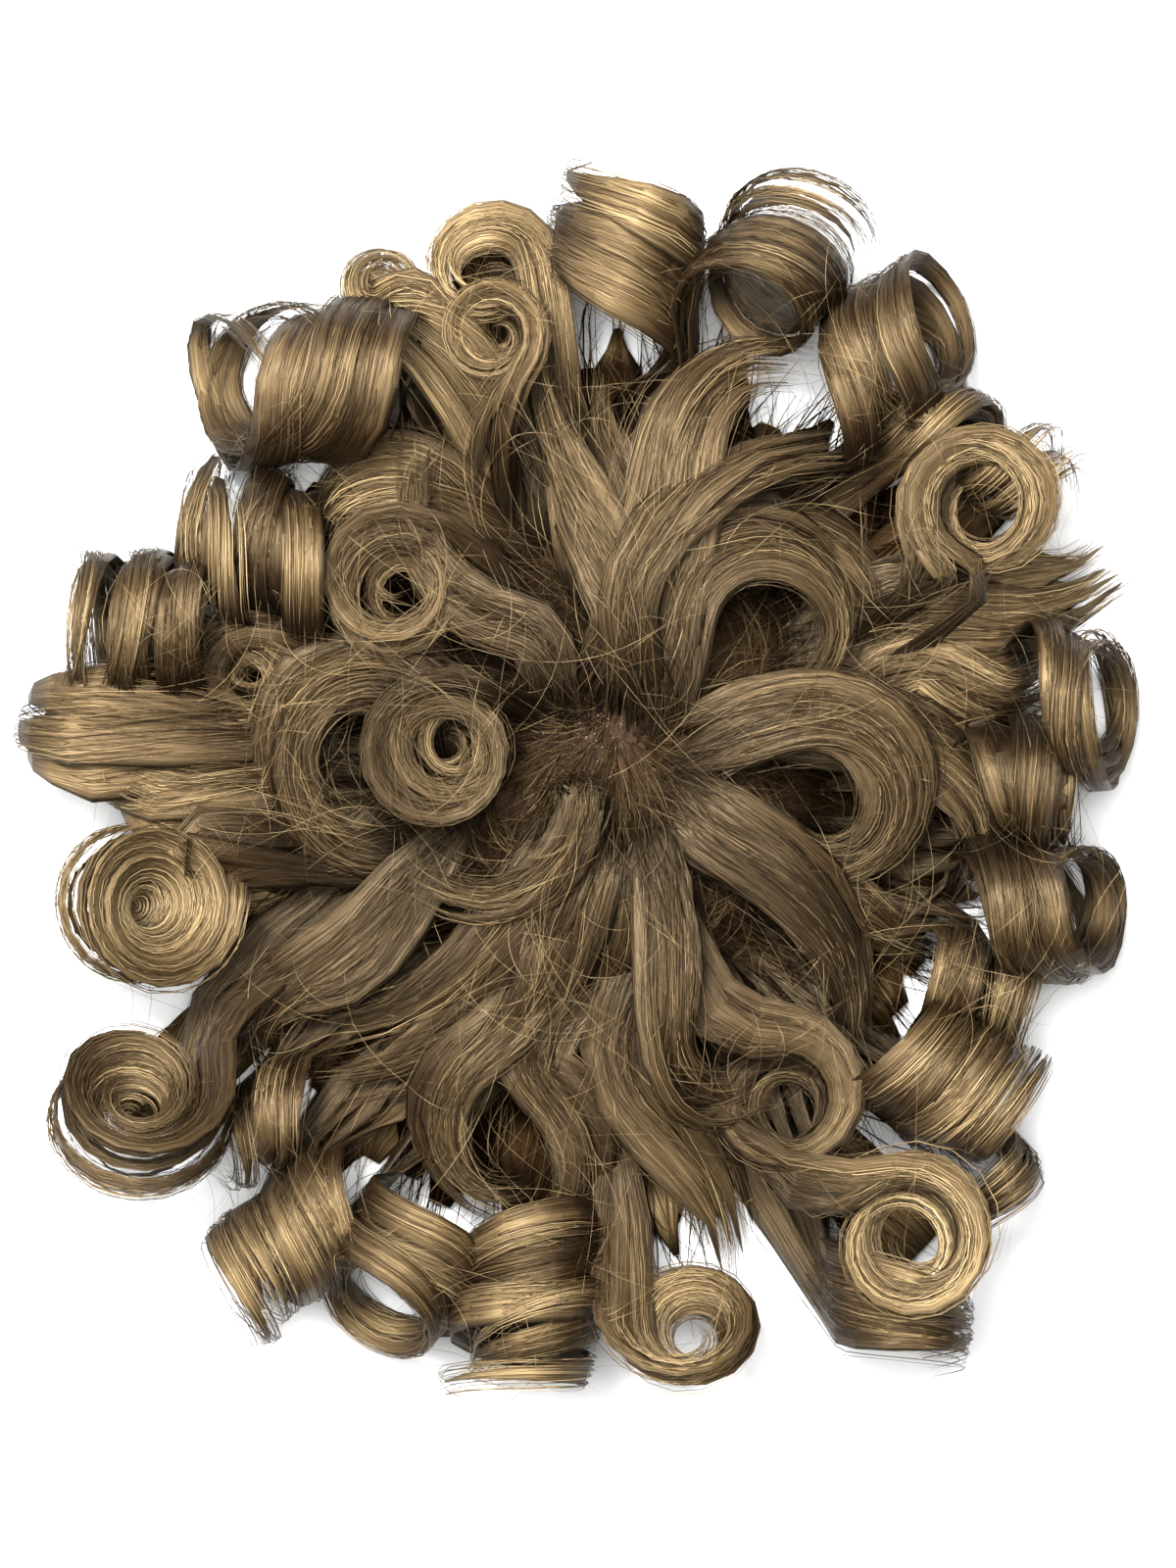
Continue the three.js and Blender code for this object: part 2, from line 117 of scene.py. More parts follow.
# Waves that lie flat: arcs in plan that sink by their advance.
WAVE_COLUMNS = "name tier root leave x y z radius end_radius start sweep advance width"
WAVE_ROWS = [
    ("crown_back_left", "crown", 125, 165, -8, 62, 29, 22, 42, 250, -112, 6, 15),
    ("crown_back", "crown", 95, 105, 136, 128, 31, 150, 150, 212, -22, 4, 16),
    ("crown_back_right", "crown", 72, 90, 45, 82, 29, 27, 26, 185, -115, 4, 21),
    ("crown_right_back", "crown", 48, 65, 58, 30, 34, 53, 57, 155, -75, 7, 15),
    ("crown_right_hook", "crown", 25, 60, 44, 42, 29, 20, 18, 165, -235, 8, 16),
    ("crown_right", "crown", 2, 15, 62, -5, 28, 23, 12, 105, -240, 6, 18),
    ("crown_front_right", "crown", -22, -15, 22, -58, 28, 44, 44, 70, -85, 4, 22),
    ("crown_front_wisp", "crown", -50, -62, 33, -66, 36, 14, 13, 165, 130, 8, 12),
    ("crown_front", "crown", -85, -85, -45, -25, 28, 48, 48, 0, -62, 4, 28),
    ("crown_front_left", "crown", -112, -105, -67, -3, 30, 60, 60, -22, -70, 8, 17),
    ("crown_left_hook", "crown", -150, -75, -25, -3, 36, 25, 26, 0, -138, 5, 12),
    ("back_sweep", "inner", 88, 90, 153, 95, 23, 150, 150, 190, -14, 3, 22),
    ("right_back_arc", "inner", 62, 72, 46, 42, 18, 27, 28, 132, -160, 4, 17),
    ("right_arc", "inner", 15, 10, 75, -13, 18, 27, 26, 85, -135, 4, 17),
    ("right_sweep", "inner", -15, -22, 115, 50, 17, 95, 95, 236, 20, 4, 20),
    ("front_right_sweep", "inner", -64, -55, -22, -127, 17, 60, 60, 60, -42, 3, 18),
    ("front_arc", "inner", -84, -80, -22, -97, 19, 24, 22, 60, -165, 4, 21),
    ("front_left_arc", "inner", -104, -115, -17, -87, 24, 21, 20, 125, 150, 4, 18),
    ("front_left_sweep", "inner", -122, -112, -64, -22, 18, 55, 55, -20, -74, 5, 18),
    ("left_front_sweep", "inner", -160, -155, -70, -62, 17, 15, 14, 100, 125, 6, 18),
    ("rosette_outer_arc", "inner", 180, 150, -55, 9, 24, 20, 19, 60, 190, 4, 13),
    ("left_long_arc", "inner", 155, 155, -52, 8, 19, 27, 26, 142, 140, 4, 15),
    ("left_low_arc", "outer", 194, 195, -72, 2, 11, 17, 16, -70, -120, 2, 16),
    ("back_left_sweep", "outer", 117, 125, -50, 62, 17, 18, 18, 70, 110, 4, 18),
    ("back_left_tail", "outer", 108, 112, -56, 129.5, 20, 6, 4, -92, -330, 6, 13),
    ("right_tuft", "outer", 24, 24, 103, 92, 12, 47, 48, -100, 54, 2, 22),
    ("right_smile", "outer", 12, 5, 104, 40, 13, 18, 18, 205, 118, 2, 17),
]

# What a lock is made of: a core, strips of hair that overlap over it, and fine wisps over each strip. The
# core and the strips are painted darker than the wisps, as painted shade inside the lock.
CORE = Values(sides=8, width=0.66, thick=0.36, ridge=0.05, tone=-0.16)
RIBBON = Values(sides=8, width=0.46, thick=0.24, ridge=0.06, tone=-0.1)
FILL = Values(end=0.97, full=0.2, closing=0.62, closed=0.96, slim=0.03, thin=0.06, arch=0.2, risen=0.14)
RIDGES = Values(even=0.8, waves=9, phase=6)
LOCK_TONE_PLAY = 0.06
# A strip's edge value paints its outer wisps darker, as painted shade where strips overlap.
STRIPS = Values(
    flat=4, curled=3, width=0.46, slide=3.5, sweep=(0.92, 1.03), fuller=0.9, edge=0.14,
    stray=0.1, flat_stray=0.7, curl_stray=0.4, strayed=0.4,
)
# How far a strip goes its own way, in the order in which the shifts are drawn.
STRIP_PLAY = {"radius": 1.2, "end_radius": 1.2, "x": 1.6, "y": 1.6, "z": 1.0}
STRIP_PLAY |= {"root": 6, "leave": 6, "tone": 0.06}
CURLED_PLAY = {**STRIP_PLAY, "heading": 5, "dip": 5}
WISPS = Values(
    curled=25, flat=28, sides=3, width=0.26, width_play=(0.6, 1.4), scatter=5.0, gathered=0.28, risen=0.1,
    late=0.2, early=0.14, early_part=0.2, uneven=0.06, on_top=0.84, tone=0.25, round=0.07,
    layer=0.43, layer_play=(0.86, 1.08), least_arch=0.02, most_edge=1.2,
    root_slim=0.3, root_gain=6, tip=0.85, tip_slim=0.85,
)
CLUMPS = Values(
    count=3, play=0.3, wander=0.045, paces=(4, 9), own_wander=0.014, own_paces=(8, 26), layer=0.05, tone=0.07,
    pinch=0.25, pinched=0.7,
)
FLATTEN = 0.8
TIP = Values(start=0.6, flat=0.2, curled=0.3)
# How broad a strand is in the flow map, its margins in the bake map, and how far strands lie apart.
GIRTH = 4.5
BAKE = Values(left=0.06, width=0.88, foot=0.01, height=0.98)
FLOW = Values(strands_apart=37.0, groups_apart=911.0)

# Painted shade: hair deep in the pile, on its way down or near its root is painted darker where shade falls,
# and an outer lock is painted darker on its way out from under the others.
DEEP_SHADE = Values(start=0.5, end=14.0, dark=0.62)
STEEP_SHADE = Values(dark=0.46, power=1.5)
ROOT_SHADE = Values(dark=0.12, until=0.45)
OUTER_LEAD_SHADE = Values(barrel=0.2, ring=0.42)
GRID = Values(cell=4.0, half=200.0, cells=100, seats=(-0.35, 0.0, 0.35), top=0.4, rounds=2, keep=0.9)

# Barrels whose last turn leans out into an open loop on the table.
LOOPED = ("back_right_loop", "right_loop", "right_barrel", "front_left_loop", "back_left_loop")
LOOP = Values(
    turn=470, over=95, near=0.06, top=0.2, far=1.06,
    narrow=0.54, narrowing=0.5, narrowed=0.7, thin=0.4, least_fall=0.5, fall_power=0.7,
)
# Rolls that start narrow, are broadest where they turn over and have a rounded end.
LENSES = ("left_roll", "left_small_roll")
LENS = Values(start=0.2, end=0.7, narrow=0.5, broad=1.35, round=9.0, bow=6.0)
# Rings that open upwards like a funnel have a thin band that leans this far out of the flat.
FUNNEL = Values(
    least_dip=50, lean=46, thick=0.55, plain_thick=0.7, broad=1.15, root_broad=1.6, outer_broad=0.8,
    lighter={"crown": 0.12, "inner": 0.1, "outer": 0.02},
)
# Waves roll over towards their tip.
ROLL = Values(most=52, start=0.1, end=0.8, sink=0.3, broad=1.15)
# Leaning rings are a cup with an open turn that comes out below it.
CUPS = ("left_ring", "left_front_ring")
CUP = Values(
    radius=0.86, end_radius=3.5, deep=0.25, broad=1.7, turn=(0.42, 0.75), turn_radius=0.97, turn_sweep=0.62,
)
# What a lock is unless its kind says otherwise.
PLAIN = {"looped": False, "funnel": False, "lighter": 0, "onward": (0, 1), "seat": None}
PLAIN["lead_dark"] = OUTER_LEAD_SHADE.barrel
# How far the hair of some locks is off its solid, because it is loose.
LOOSENED = {
    "front_right_rosette": {"z": 10, "end_radius": 2.5, "advance": 6},
    "back_left_loop": {"x": -3, "radius": 1, "end_radius": 1, "z": 1, "width": 5},
    "top_tuft": {"y": 12, "width": 5},
    "right_tuft": {"width": 9},
    "right_ring": {"radius": 2, "end_radius": 3, "advance": 6},
    "left_ring": {"x": -2, "radius": 1},
    "left_front_ring": {"x": 1, "y": -3},
    "right_loop": {"x": 3},
    "front_right_barrel": {"y": -5},
    "right_front_end": {"x": 3, "y": -3},
    "back_right_corkscrew": {"advance": 8},
    "front_right_sweep": {"sweep": -14, "width": 6},
    "back_left_tail": {"x": 3, "y": -2},
    "back_left_crest": {"end_radius": -5},
    "front_ring": {"root": -9, "leave": 18, "width": 4, "root_broad": -0.4},
    "left_roll": {"radius": 2.5, "end_radius": 1, "z": 2.5},
    "left_small_roll": {"radius": 2, "end_radius": 1, "z": 2},
    "front_right_ring": {"end_radius": 3, "advance": 8},
}

# Loose hair that runs level: under the curls, on the base and over the pile.
LEVEL = Values(wave=0.28, paces=(3, 9), phases=(0, 6), tip=0.7, tip_slim=0.75, share=0.3, sides=3)
UNDER_MIDDLE = np.array([1, -3])
UNDER_HALF = np.array([98, 117])
UNDER_CORNER = 0.06
UNDER = Values(
    tongues=30, strands=18, inset=2, fan=1.1, reach=(0.86, 1.1), spread=5, bend=50,
    to_curl=16, along_curl=0.35, past_ring=8, curl_root=0.96, curl_fan=5, curl_spread=4,
    width=(0.25, 0.6), samples=9, layer=(0.3, 6.0), lift=0.6, root_phase=0.15, tip_phase=0.95,
    tone=0.62, tone_play=0.16,
)
# A ring hides the hair under it, apart from this one, whose middle is open.
OPEN_RINGS = ("front_ring",)
TONGUES = Values(
    reach=(0.9, 0.97), to_curl=0.88, inset=3, samples=11, sides=8, height=1.0, rise=2.0, root_half=0.7,
    tip=0.72, half_thick=0.8, tip_thick=0.3, tone_play=0.08,
)
ROUND_TONGUE = Values(half=10.5, point=0.75, tone=0.62)
RING_TONGUE = Values(half=12.0, point=0.4, tone=1.15)
CURL_TONGUE = Values(half=8.0, point=0.9, tone=0.9)
WHORL = Values(place=np.array([9, 16]), bare=4, swirl=24)
CROWN = Values(
    near=900, near_reach=26, near_tone=0.6, tufts=84, in_tuft=21, tuft=3.2, tuft_turn=0.382,
    tuft_area=(0.12, 0.9), tuft_tone=0.46, tuft_tone_play=0.06, tone_play=0.16, width=0.2,
    width_play=(0.5, 1.6), shortest=22, longest=66, tuft_shortest=0.6, uneven=(0.8, 1.0), lift=5.0,
    lift_play=(0.2, 1.3), samples=9,
)
# A crown hair's turn: its middle, and the play of a single hair, of a hair in its tuft and of a tuft.
CROWN_HEADING = Values(middle=0, near=9, hair=4, tuft=18)
CROWN_BEND = Values(middle=-30, near=30, hair=9, tuft=85)
FLYAWAYS = Values(
    count=1150, places=(0.15, 0.97), off=0.45, over=6.0, covered=0.85, width=0.085, width_play=(0.7, 1.4),
    shortest=30, longest=95, samples=17, turn=28, bend=90, above=1.08, lift=(1.5, 5.0), end_lift=0.3,
    tone=0.88, tone_play=0.2,
)
LACE = Values(rings=28, sides=96)
KNOTS = Values(
    count=260, x=1, y=19, spread=(7.0, 5.25), size=0.24, size_play=(0.5, 1.2), stretch=(1.5, 0.8, 1.0),
)

# The hair's colours from the darkest strand to the lightest, its streaks, and its roughness and shine.
HAIR_TONES = [
    (0.0, (0.0022, 0.0009, 0.0003)),
    (0.3, (0.0128, 0.0064, 0.0023)),
    (0.62, (0.084, 0.0545, 0.0245)),
    (1.0, (0.44, 0.318, 0.16)),
]
STREAKS = Values(fine=(2.8, 0.025, 1.0), fine_tone=0.8, broad=(0.6, 0.012, 1.0), broad_tone=0.6)
GOLDEN_TIP = 0.25
SHINE_TINT = (1.0, 0.74, 0.44, 1)
CURLED_FINISH = Values(roughness=0.42, shine=0.6)
STRAIGHT_FINISH = Values(roughness=0.55, shine=0.2)
SHADED_FINISH = Values(roughness=0.75, shine=0.04)

# The studio is in metres and watts.
FLOOR = Values(size=6, colour=(0.6, 0.6, 0.597, 1), roughness=0.9)
WORLD = Values(colour=(1, 1, 1, 1), strength=0.05)
SOFTBOX = Values(place=(-0.15, 0.2, 1.4), size=1.3, power=70)
KEY = Values(place=(-0.4, 0.6, 1.3), size=0.3, power=54)
CAMERA = Values(lens=100, sensor=36, shown=0.4, hair_level=0.02)


def row_shift():
    """From the tables' own origin to the row's, in millimetres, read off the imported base."""
    low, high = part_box("lace_base")
    middle = (np.array(low) + np.array(high)) / 2 / MM
    return np.array([middle[0] - BASE.x, middle[1] - BASE.y, 0.0])


SHIFT = row_shift()


def table(columns, rows, **shared):
    """A table's rows as named values, with those that are plain or shared."""
    return [Values(**{**PLAIN, **shared, **dict(zip(columns.split(), row))}) for row in rows]


def all_locks():
    """Every lock as its row's values, with those that its kind adds."""
    barrels = table(BARREL_COLUMNS, BARREL_ROWS, thick=THICK.barrel, tier="outer", flat=False)
    for lock in barrels:
        lock.z = lock.radius + THICK.barrel / 2
        lock.looped = lock.name in LOOPED
        lock.coarse = COARSE.loop if lock.looped else COARSE.barrel
    rings = table(RING_COLUMNS, RING_ROWS, flat=False, coarse=COARSE.ring, lead_dark=OUTER_LEAD_SHADE.ring)
    for lock in rings:
        lock.funnel = lock.dip >= FUNNEL.least_dip
        lock.width *= FUNNEL.broad
        lock.thick = THICK.ring * (FUNNEL.thick if lock.funnel else FUNNEL.plain_thick)
        lock.root_broad = FUNNEL.outer_broad if lock.tier == "outer" else FUNNEL.root_broad
        lock.lighter = FUNNEL.lighter[lock.tier]
    waves = table(WAVE_COLUMNS, WAVE_ROWS, thick=THICK.wave, heading=0, dip=90, flat=True, coarse=COARSE.wave)
    for lock in waves:
        lock.width *= ROLL.broad
    for lock in waves + barrels:
        lock.root_broad = TIERS[lock.tier].broad
    locks = rings + waves + barrels
    for lock in locks:
        for key, change in LOOSENED.get(lock.name, {}).items():
            vars(lock)[key] += change
    for lock in barrels:
        if not lock.looped:
            tuck_in(lock)
    return locks


def tuck_in(lock):
    """Ends a closed barrel at its underside, and makes it shorter where it turns less."""
    turns = round((lock.start + lock.sweep - UNDERSIDE) / 360)
    sweep = UNDERSIDE + 360 * turns - lock.start
    if abs(sweep) < abs(lock.sweep):
        lock.advance *= sweep / lock.sweep
    lock.sweep = sweep


def unit(vectors):
    return vectors / np.maximum(np.linalg.norm(vectors, axis=-1, keepdims=True), 1e-9)


def square(face, along):
    """Directions made square to the way a lock runs."""
    return unit(face - along * np.sum(face * along, axis=-1, keepdims=True))


def compass(turn):
    """Level directions in plan."""
    return np.stack([np.cos(turn), np.sin(turn)], axis=-1)


def blend(first, second, share):
    return first + (second - first) * share


def ease(value, start=0, end=1):
    """A smooth step from 0 at the start to 1 at the end."""
    value = np.clip((value - start) / (end - start), 0, 1)
    return value * value * (3 - 2 * value)


def base_height(share):
    """The height of the base's outer face at a share of the way from its middle to its edge."""
    inside = np.maximum(BASE_SPHERE**2 - (BASE_SPAN * share) ** 2, 0)
    return np.sqrt(inside) - (BASE_SPHERE - BASE.height)


def base_place(turn, share=1, inset=0):
    """Places on the base in plan, at a share of the way to its edge or to a line inside the edge."""
    return BASE_MIDDLE + (BASE_HALF - inset) * compass(turn) * np.asarray(share)[..., None]


def ground(points):
    """The height under points, on the base or on the table."""
    share = np.linalg.norm((points[..., :2] - BASE_MIDDLE) / BASE_HALF, axis=-1)
    return np.where(share < 1, base_height(np.minimum(share, 1)), 0.0)


def rest_on_ground(points, lift):
    """Lifts points that would be in the base or the table."""
    points[..., 2] = np.maximum(points[..., 2], ground(points) + lift)
    return points


def from_ground(points, risen):
    """Draws points down to the ground as far as they haven't risen from it."""
    floor = ground(points) + FLOOR_LIFT
    points[..., 2] = floor + (points[..., 2] - floor) * risen
    return points


def loop_advance(turned_by):
    """How far an open loop is along its axis: near at the top of a turn and far on the table."""
    over = blend(LOOP.near, LOOP.top, ease(turned_by, 0, LOOP.over))
    past = np.radians(np.maximum(turned_by - LOOP.over, 0))
    return over + (LOOP.far - LOOP.top) * (1 - np.cos(past)) / 2


def curl_of(lock):
    """A lock's curl, from where it starts to a little past its tip, with the way its broad face looks."""
    turn, dip = math.radians(lock.heading), math.radians(lock.dip)
    ahead = np.array([math.cos(turn), math.sin(turn), 0.0])
    axis = ahead * math.cos(dip) - UP * math.sin(dip)
    rise = ahead * math.sin(dip) + UP * math.cos(dip)
    side = np.array([-math.sin(turn), math.cos(turn), 0.0])
    looped = lock.looped
    sweep = math.copysign(LOOP.turn, lock.sweep) if looped else lock.sweep
    steps = max(LEAST_STEPS, round(abs(sweep) / CURL_STEP))
    share = np.arange(0, 1 + PAST_TIP, 1 / steps)[:, None]
    angle = np.radians(lock.start + sweep * share)
    outward = rise * np.cos(angle) + side * np.sin(angle)
    radius = blend(lock.radius, lock.end_radius, share)
    onward = loop_advance(abs(sweep) * share) if looped else blend(*lock.onward, share)
    points = np.array([lock.x, lock.y, lock.z]) + axis * lock.advance * onward + outward * radius
    faces = outward
    if lock.flat:
        roll = math.radians(ROLL.most) * ease(share, ROLL.start, ROLL.end)
        faces = -axis * np.cos(roll) + outward * np.sin(roll)
        points = points + axis * ROLL.sink * lock.width * np.sin(roll)
    elif lock.funnel:
        lean = math.radians(FUNNEL.lean)
        faces = -axis * math.cos(lean) - outward * math.sin(lean)
    return points, faces, steps


def root_of(lock):
    """Where a lock is rooted on the base, the way the base faces there and how steeply it falls."""
    tier = TIERS[lock.tier]
    turn = math.radians(lock.root)
    height = base_height(tier.share) + GAP + 0.5 * THICK.wave * math.sqrt(tier.root)
    run = BASE_SPAN * tier.share
    face = unit(np.append(compass(turn) * run / BASE_SPHERE, 1.0))
    fall = run / math.sqrt(BASE_SPHERE**2 - run**2)
    return np.append(base_place(turn, tier.share), height), face, fall


def lead_of(lock, root, fall, curl):
    """The way from a lock's root to the start of its curl."""
    leave = unit(np.append(compass(math.radians(lock.leave)), -LEAD.slope * fall))
    arrive = unit(curl[1] - curl[0])
    reach = np.linalg.norm(curl[0] - root)
    t = np.linspace(0, 1, LEAD.samples, endpoint=False)[:, None]
    return (
        root * (2 * t**3 - 3 * t**2 + 1)
        + leave * (t**3 - 2 * t**2 + t) * reach * LEAD.out
        + curl[0] * (3 * t**2 - 2 * t**3)
        + arrive * (t**3 - t**2) * reach * LEAD.arrive
    )


def turned(vector, about, angle):
    """A vector turned about a direction square to it."""
    return vector * math.cos(angle) + np.cross(about, vector) * math.sin(angle)


def softened(points):
    """A line with its sharp bends eased, its ends kept."""
    for _ in range(SOFTEN):
        points[1:-1] = (points[:-2] + 2 * points[1:-1] + points[2:]) / 4
    return points


def lock_path(lock):
    """A lock's line: its points, the way it runs, across and up directions, and shares of its length."""
    curl, curl_faces, steps = curl_of(lock)
    root, root_face, fall = root_of(lock)
    lead = lead_of(lock, root, fall, curl)
    points = softened(np.vstack([lead, curl]))
    runs = unit(np.gradient(points, axis=0))
    count = len(lead)
    carried = [square(root_face, runs[0])]
    for k in range(1, count + 1):
        carried.append(square(carried[-1], runs[k]))
    joint = runs[count]
    wanted = square(curl_faces[0], joint)
    twist = math.atan2(np.dot(np.cross(carried[-1], wanted), joint), np.dot(carried[-1], wanted))
    up = np.empty_like(points)
    for k in range(count):
        up[k] = turned(carried[k], runs[k], twist * k / count)
    up[count:] = square(curl_faces, runs[count:])
    lengths = np.concatenate([[0], np.cumsum(np.linalg.norm(np.diff(points, axis=0), axis=1))])
    tip = count + steps
    across = np.cross(up, runs)
    share = lengths / lengths[tip]
    return Values(points=points, runs=runs, up=up, across=across, share=share, tip=tip)


def along(path, key, places):
    """Values of a path at places counted in its samples."""
    values = getattr(path, key)
    places = np.clip(places, 0, len(values) - JUST_INSIDE)
    low = places.astype(int)
    part = places - low
    if values.ndim > 1:
        part = part[..., None]
    return values[low] * (1 - part) + values[low + 1] * part


def fullness(lock, share):
    """How broad and how thick a lock is at shares of its length: flat at its root and slim at its tip."""
    tier = TIERS[lock.tier]
    grow = ease(share, 0, tier.full)
    fall = 1 - (TIP.flat if lock.flat else TIP.curled) * ease(share, TIP.start)
    broad = blend(lock.root_broad, 1, grow) * fall
    thick = blend(tier.root, 1, grow) * np.sqrt(fall)
    if lock.name in LENSES:
        broad = broad * blend(LENS.narrow, LENS.broad, ease(share, LENS.start, LENS.end))
    if lock.looped:
        narrow = blend(1, LOOP.narrow, ease(share, LOOP.narrowing, LOOP.narrowed))
        broad = broad * narrow / np.maximum(fall, LOOP.least_fall) ** LOOP.fall_power
        thick = thick * blend(LOOP.thin, 1, narrow)
    return broad, thick


class Pile:
    """The height of the pile of locks over a place, evened out a little."""

    def __init__(self, paths):
        cells = GRID.cells
        heights = np.zeros((cells, cells))
        for lock, path in paths:
            broad, _ = fullness(lock, path.share)
            for seat in GRID.seats:
                spots = path.points + path.across * (seat * lock.width * broad)[:, None]
                place = ((spots[:, :2] + GRID.half) / GRID.cell).astype(int)
                x, y = np.clip(place, 0, cells - 1).T
                np.maximum.at(heights, (x, y), spots[:, 2] + GRID.top * lock.thick)
        smooth = heights
        for _ in range(GRID.rounds):
            padded = np.pad(smooth, 1, mode="edge")
            smooth = sum(padded[a : a + cells, b : b + cells] for a in range(3) for b in range(3)) / 9
        self.heights = np.maximum(smooth, heights * GRID.keep)

    def at(self, points):
        place = (points[..., :2] + GRID.half) / GRID.cell - 0.5
        place = np.clip(place, 0, GRID.cells - JUST_INSIDE)
        low = place.astype(int)
        x, y = low[..., 0], low[..., 1]
        a, b = (place - low)[..., 0], (place - low)[..., 1]
        near = self.heights[x, y] * (1 - b) + self.heights[x, y + 1] * b
        far = self.heights[x + 1, y] * (1 - b) + self.heights[x + 1, y + 1] * b
        return near * (1 - a) + far * a


def strands(centres, across, up, half_width, half_thick, tone, share, sides, ridges=None):
    """Closed tubes along rows of points, as arrays for a mesh, set clear of the base and the table."""
    angles = 2 * np.pi * np.arange(sides) / sides
    cosine, sine = np.cos(angles)[:, None], np.sin(angles)[:, None]
    reach = np.abs(up[..., 2]) * half_thick + np.abs(across[..., 2]) * half_width
    spoke = half_width[:, :, None, None] * cosine * across[:, :, None, :]
    spoke = spoke + half_thick[:, :, None, None] * sine * up[:, :, None, :]
    if ridges is not None:
        reach = reach * (1 + ridges.max(axis=2))
        spoke = spoke * (1 + ridges)[..., None]
    centres = rest_on_ground(centres.copy(), FLOOR_LIFT + reach)
    ring = centres[:, :, None, :] + spoke
    steps = np.linalg.norm(np.diff(centres, axis=1), axis=2)
    # Painted shade: the tone is darkened deep in the pile, where the strand runs steeply and near its root.
    depth = PILE.at(centres) - centres[..., 2]
    steep = np.abs(unit(np.gradient(centres, axis=1))[..., 2]) ** STEEP_SHADE.power
    tone = tone if tone.ndim > 1 else tone[:, None]
    tone = tone - DEEP_SHADE.dark * ease(depth, DEEP_SHADE.start, DEEP_SHADE.end) - STEEP_SHADE.dark * steep
    tone = tone - ROOT_SHADE.dark * (1 - ease(share, 0, ROOT_SHADE.until))
    return {
        "points": ring,
        "tone": np.broadcast_to(tone[:, :, None], ring.shape[:3]),
        "share": np.broadcast_to(share[:, :, None], ring.shape[:3]),
        "lengths": np.pad(np.cumsum(steps, axis=1), ((0, 0), (1, 0))),
        "girth": GIRTH * np.hypot(half_width.max(axis=1), half_thick.max(axis=1)),
    }


def lead_dark(lock, share):
    """How much darker an outer lock is painted on its way out from under the others, as painted shade."""
    if lock.tier != "outer":
        return 0 * share
    return lock.lead_dark * (1 - ease(share, 0, TIERS["outer"].full))


def ridges_of(count, samples, sides, random):
    """Ridges round ribbons, one for each strand of hair in them, which come and go along the length."""
    strand = np.where(np.arange(sides) % 2, -1.0, 1.0)
    first, second = random.normal(0, 1, (2, count, 1, sides)) + RIDGES.even * strand
    run = np.linspace(0, RIDGES.waves, samples)[None, :, None]
    wave = 0.5 + 0.5 * np.sin(run + random.random((count, 1, sides)) * RIDGES.phase)
    return first * wave + second * (1 - wave)


def core_of(lock, path, part, random):
    """A closed form along a lock or a strip of it, with ridges along it."""
    samples = path.tip // lock.coarse + 1
    places = path.tip * np.linspace(0, FILL.end, samples)[None]
    share = along(path, "share", places)
    broad, thick = fullness(lock, share)
    fill = ease(share, 0, FILL.full) * (1 - ease(share, FILL.closing, FILL.closed))
    half_width = 0.5 * part.width * lock.width * broad * blend(FILL.slim, 1, fill)
    half_thick = 0.5 * part.thick * lock.thick * thick * blend(FILL.thin, 1, fill)
    up, across, centres = (along(path, key, places) for key in ("up", "across", "points"))
    if lock.seat is not None:
        arch = FILL.arch * math.sqrt(max(1 - (2 * lock.seat) ** 2, 0))
        centres = centres + across * (lock.seat * lock.width * broad)[..., None]
        centres = centres + up * (arch * lock.thick * thick)[..., None]
    centres = from_ground(centres, ease(share, 0, FILL.risen))
    ridges = part.ridge * ridges_of(1, samples, part.sides, random)
    # Painted shade: cores and strips are darker by their part's tone, and an outer lock's lead is darker.
    tone = lock.tone + part.tone - lead_dark(lock, share)
    return strands(centres, across, up, half_width, half_thick, tone, share, part.sides, ridges)


def strips_of(lock, random):
    """A lock as overlapping strips of hair, each of which goes its own way a little."""
    cup = lock.name in CUPS
    count = STRIPS.flat if lock.flat or cup else STRIPS.curled
    slide = math.degrees(STRIPS.slide / lock.radius)
    groups = []
    for place in range(count):
        strip = Values(**vars(lock))
        strip.start += slide * random.normal()
        strip.sweep *= random.uniform(*STRIPS.sweep)
        for key, play in (STRIP_PLAY if lock.flat else CURLED_PLAY).items():
            vars(strip)[key] += play * random.normal()
        if not lock.flat:
            strip.radius += STRIPS.fuller
        if cup:
            make_cup(strip, place == 0)
        strip.seat = (1 - STRIPS.width) * ((place + 0.5) / count - 0.5) * count / (count - 1)
        path = lock_path(strip)
        groups.append(core_of(strip, path, RIBBON, random))
        groups.append(wisps_of(strip, path, random))
    return groups


def make_cup(strip, open_turn):
    """Makes a strip of a leaning ring the open turn below the cup, or a part of the cup."""
    if open_turn:
        strip.funnel = False
        strip.onward = CUP.turn
        strip.radius *= CUP.turn_radius
        strip.end_radius = strip.radius
        strip.sweep *= CUP.turn_sweep
    else:
        strip.onward = (0, CUP.deep)
        strip.radius *= CUP.radius
        strip.end_radius = CUP.end_radius
        strip.width *= CUP.broad


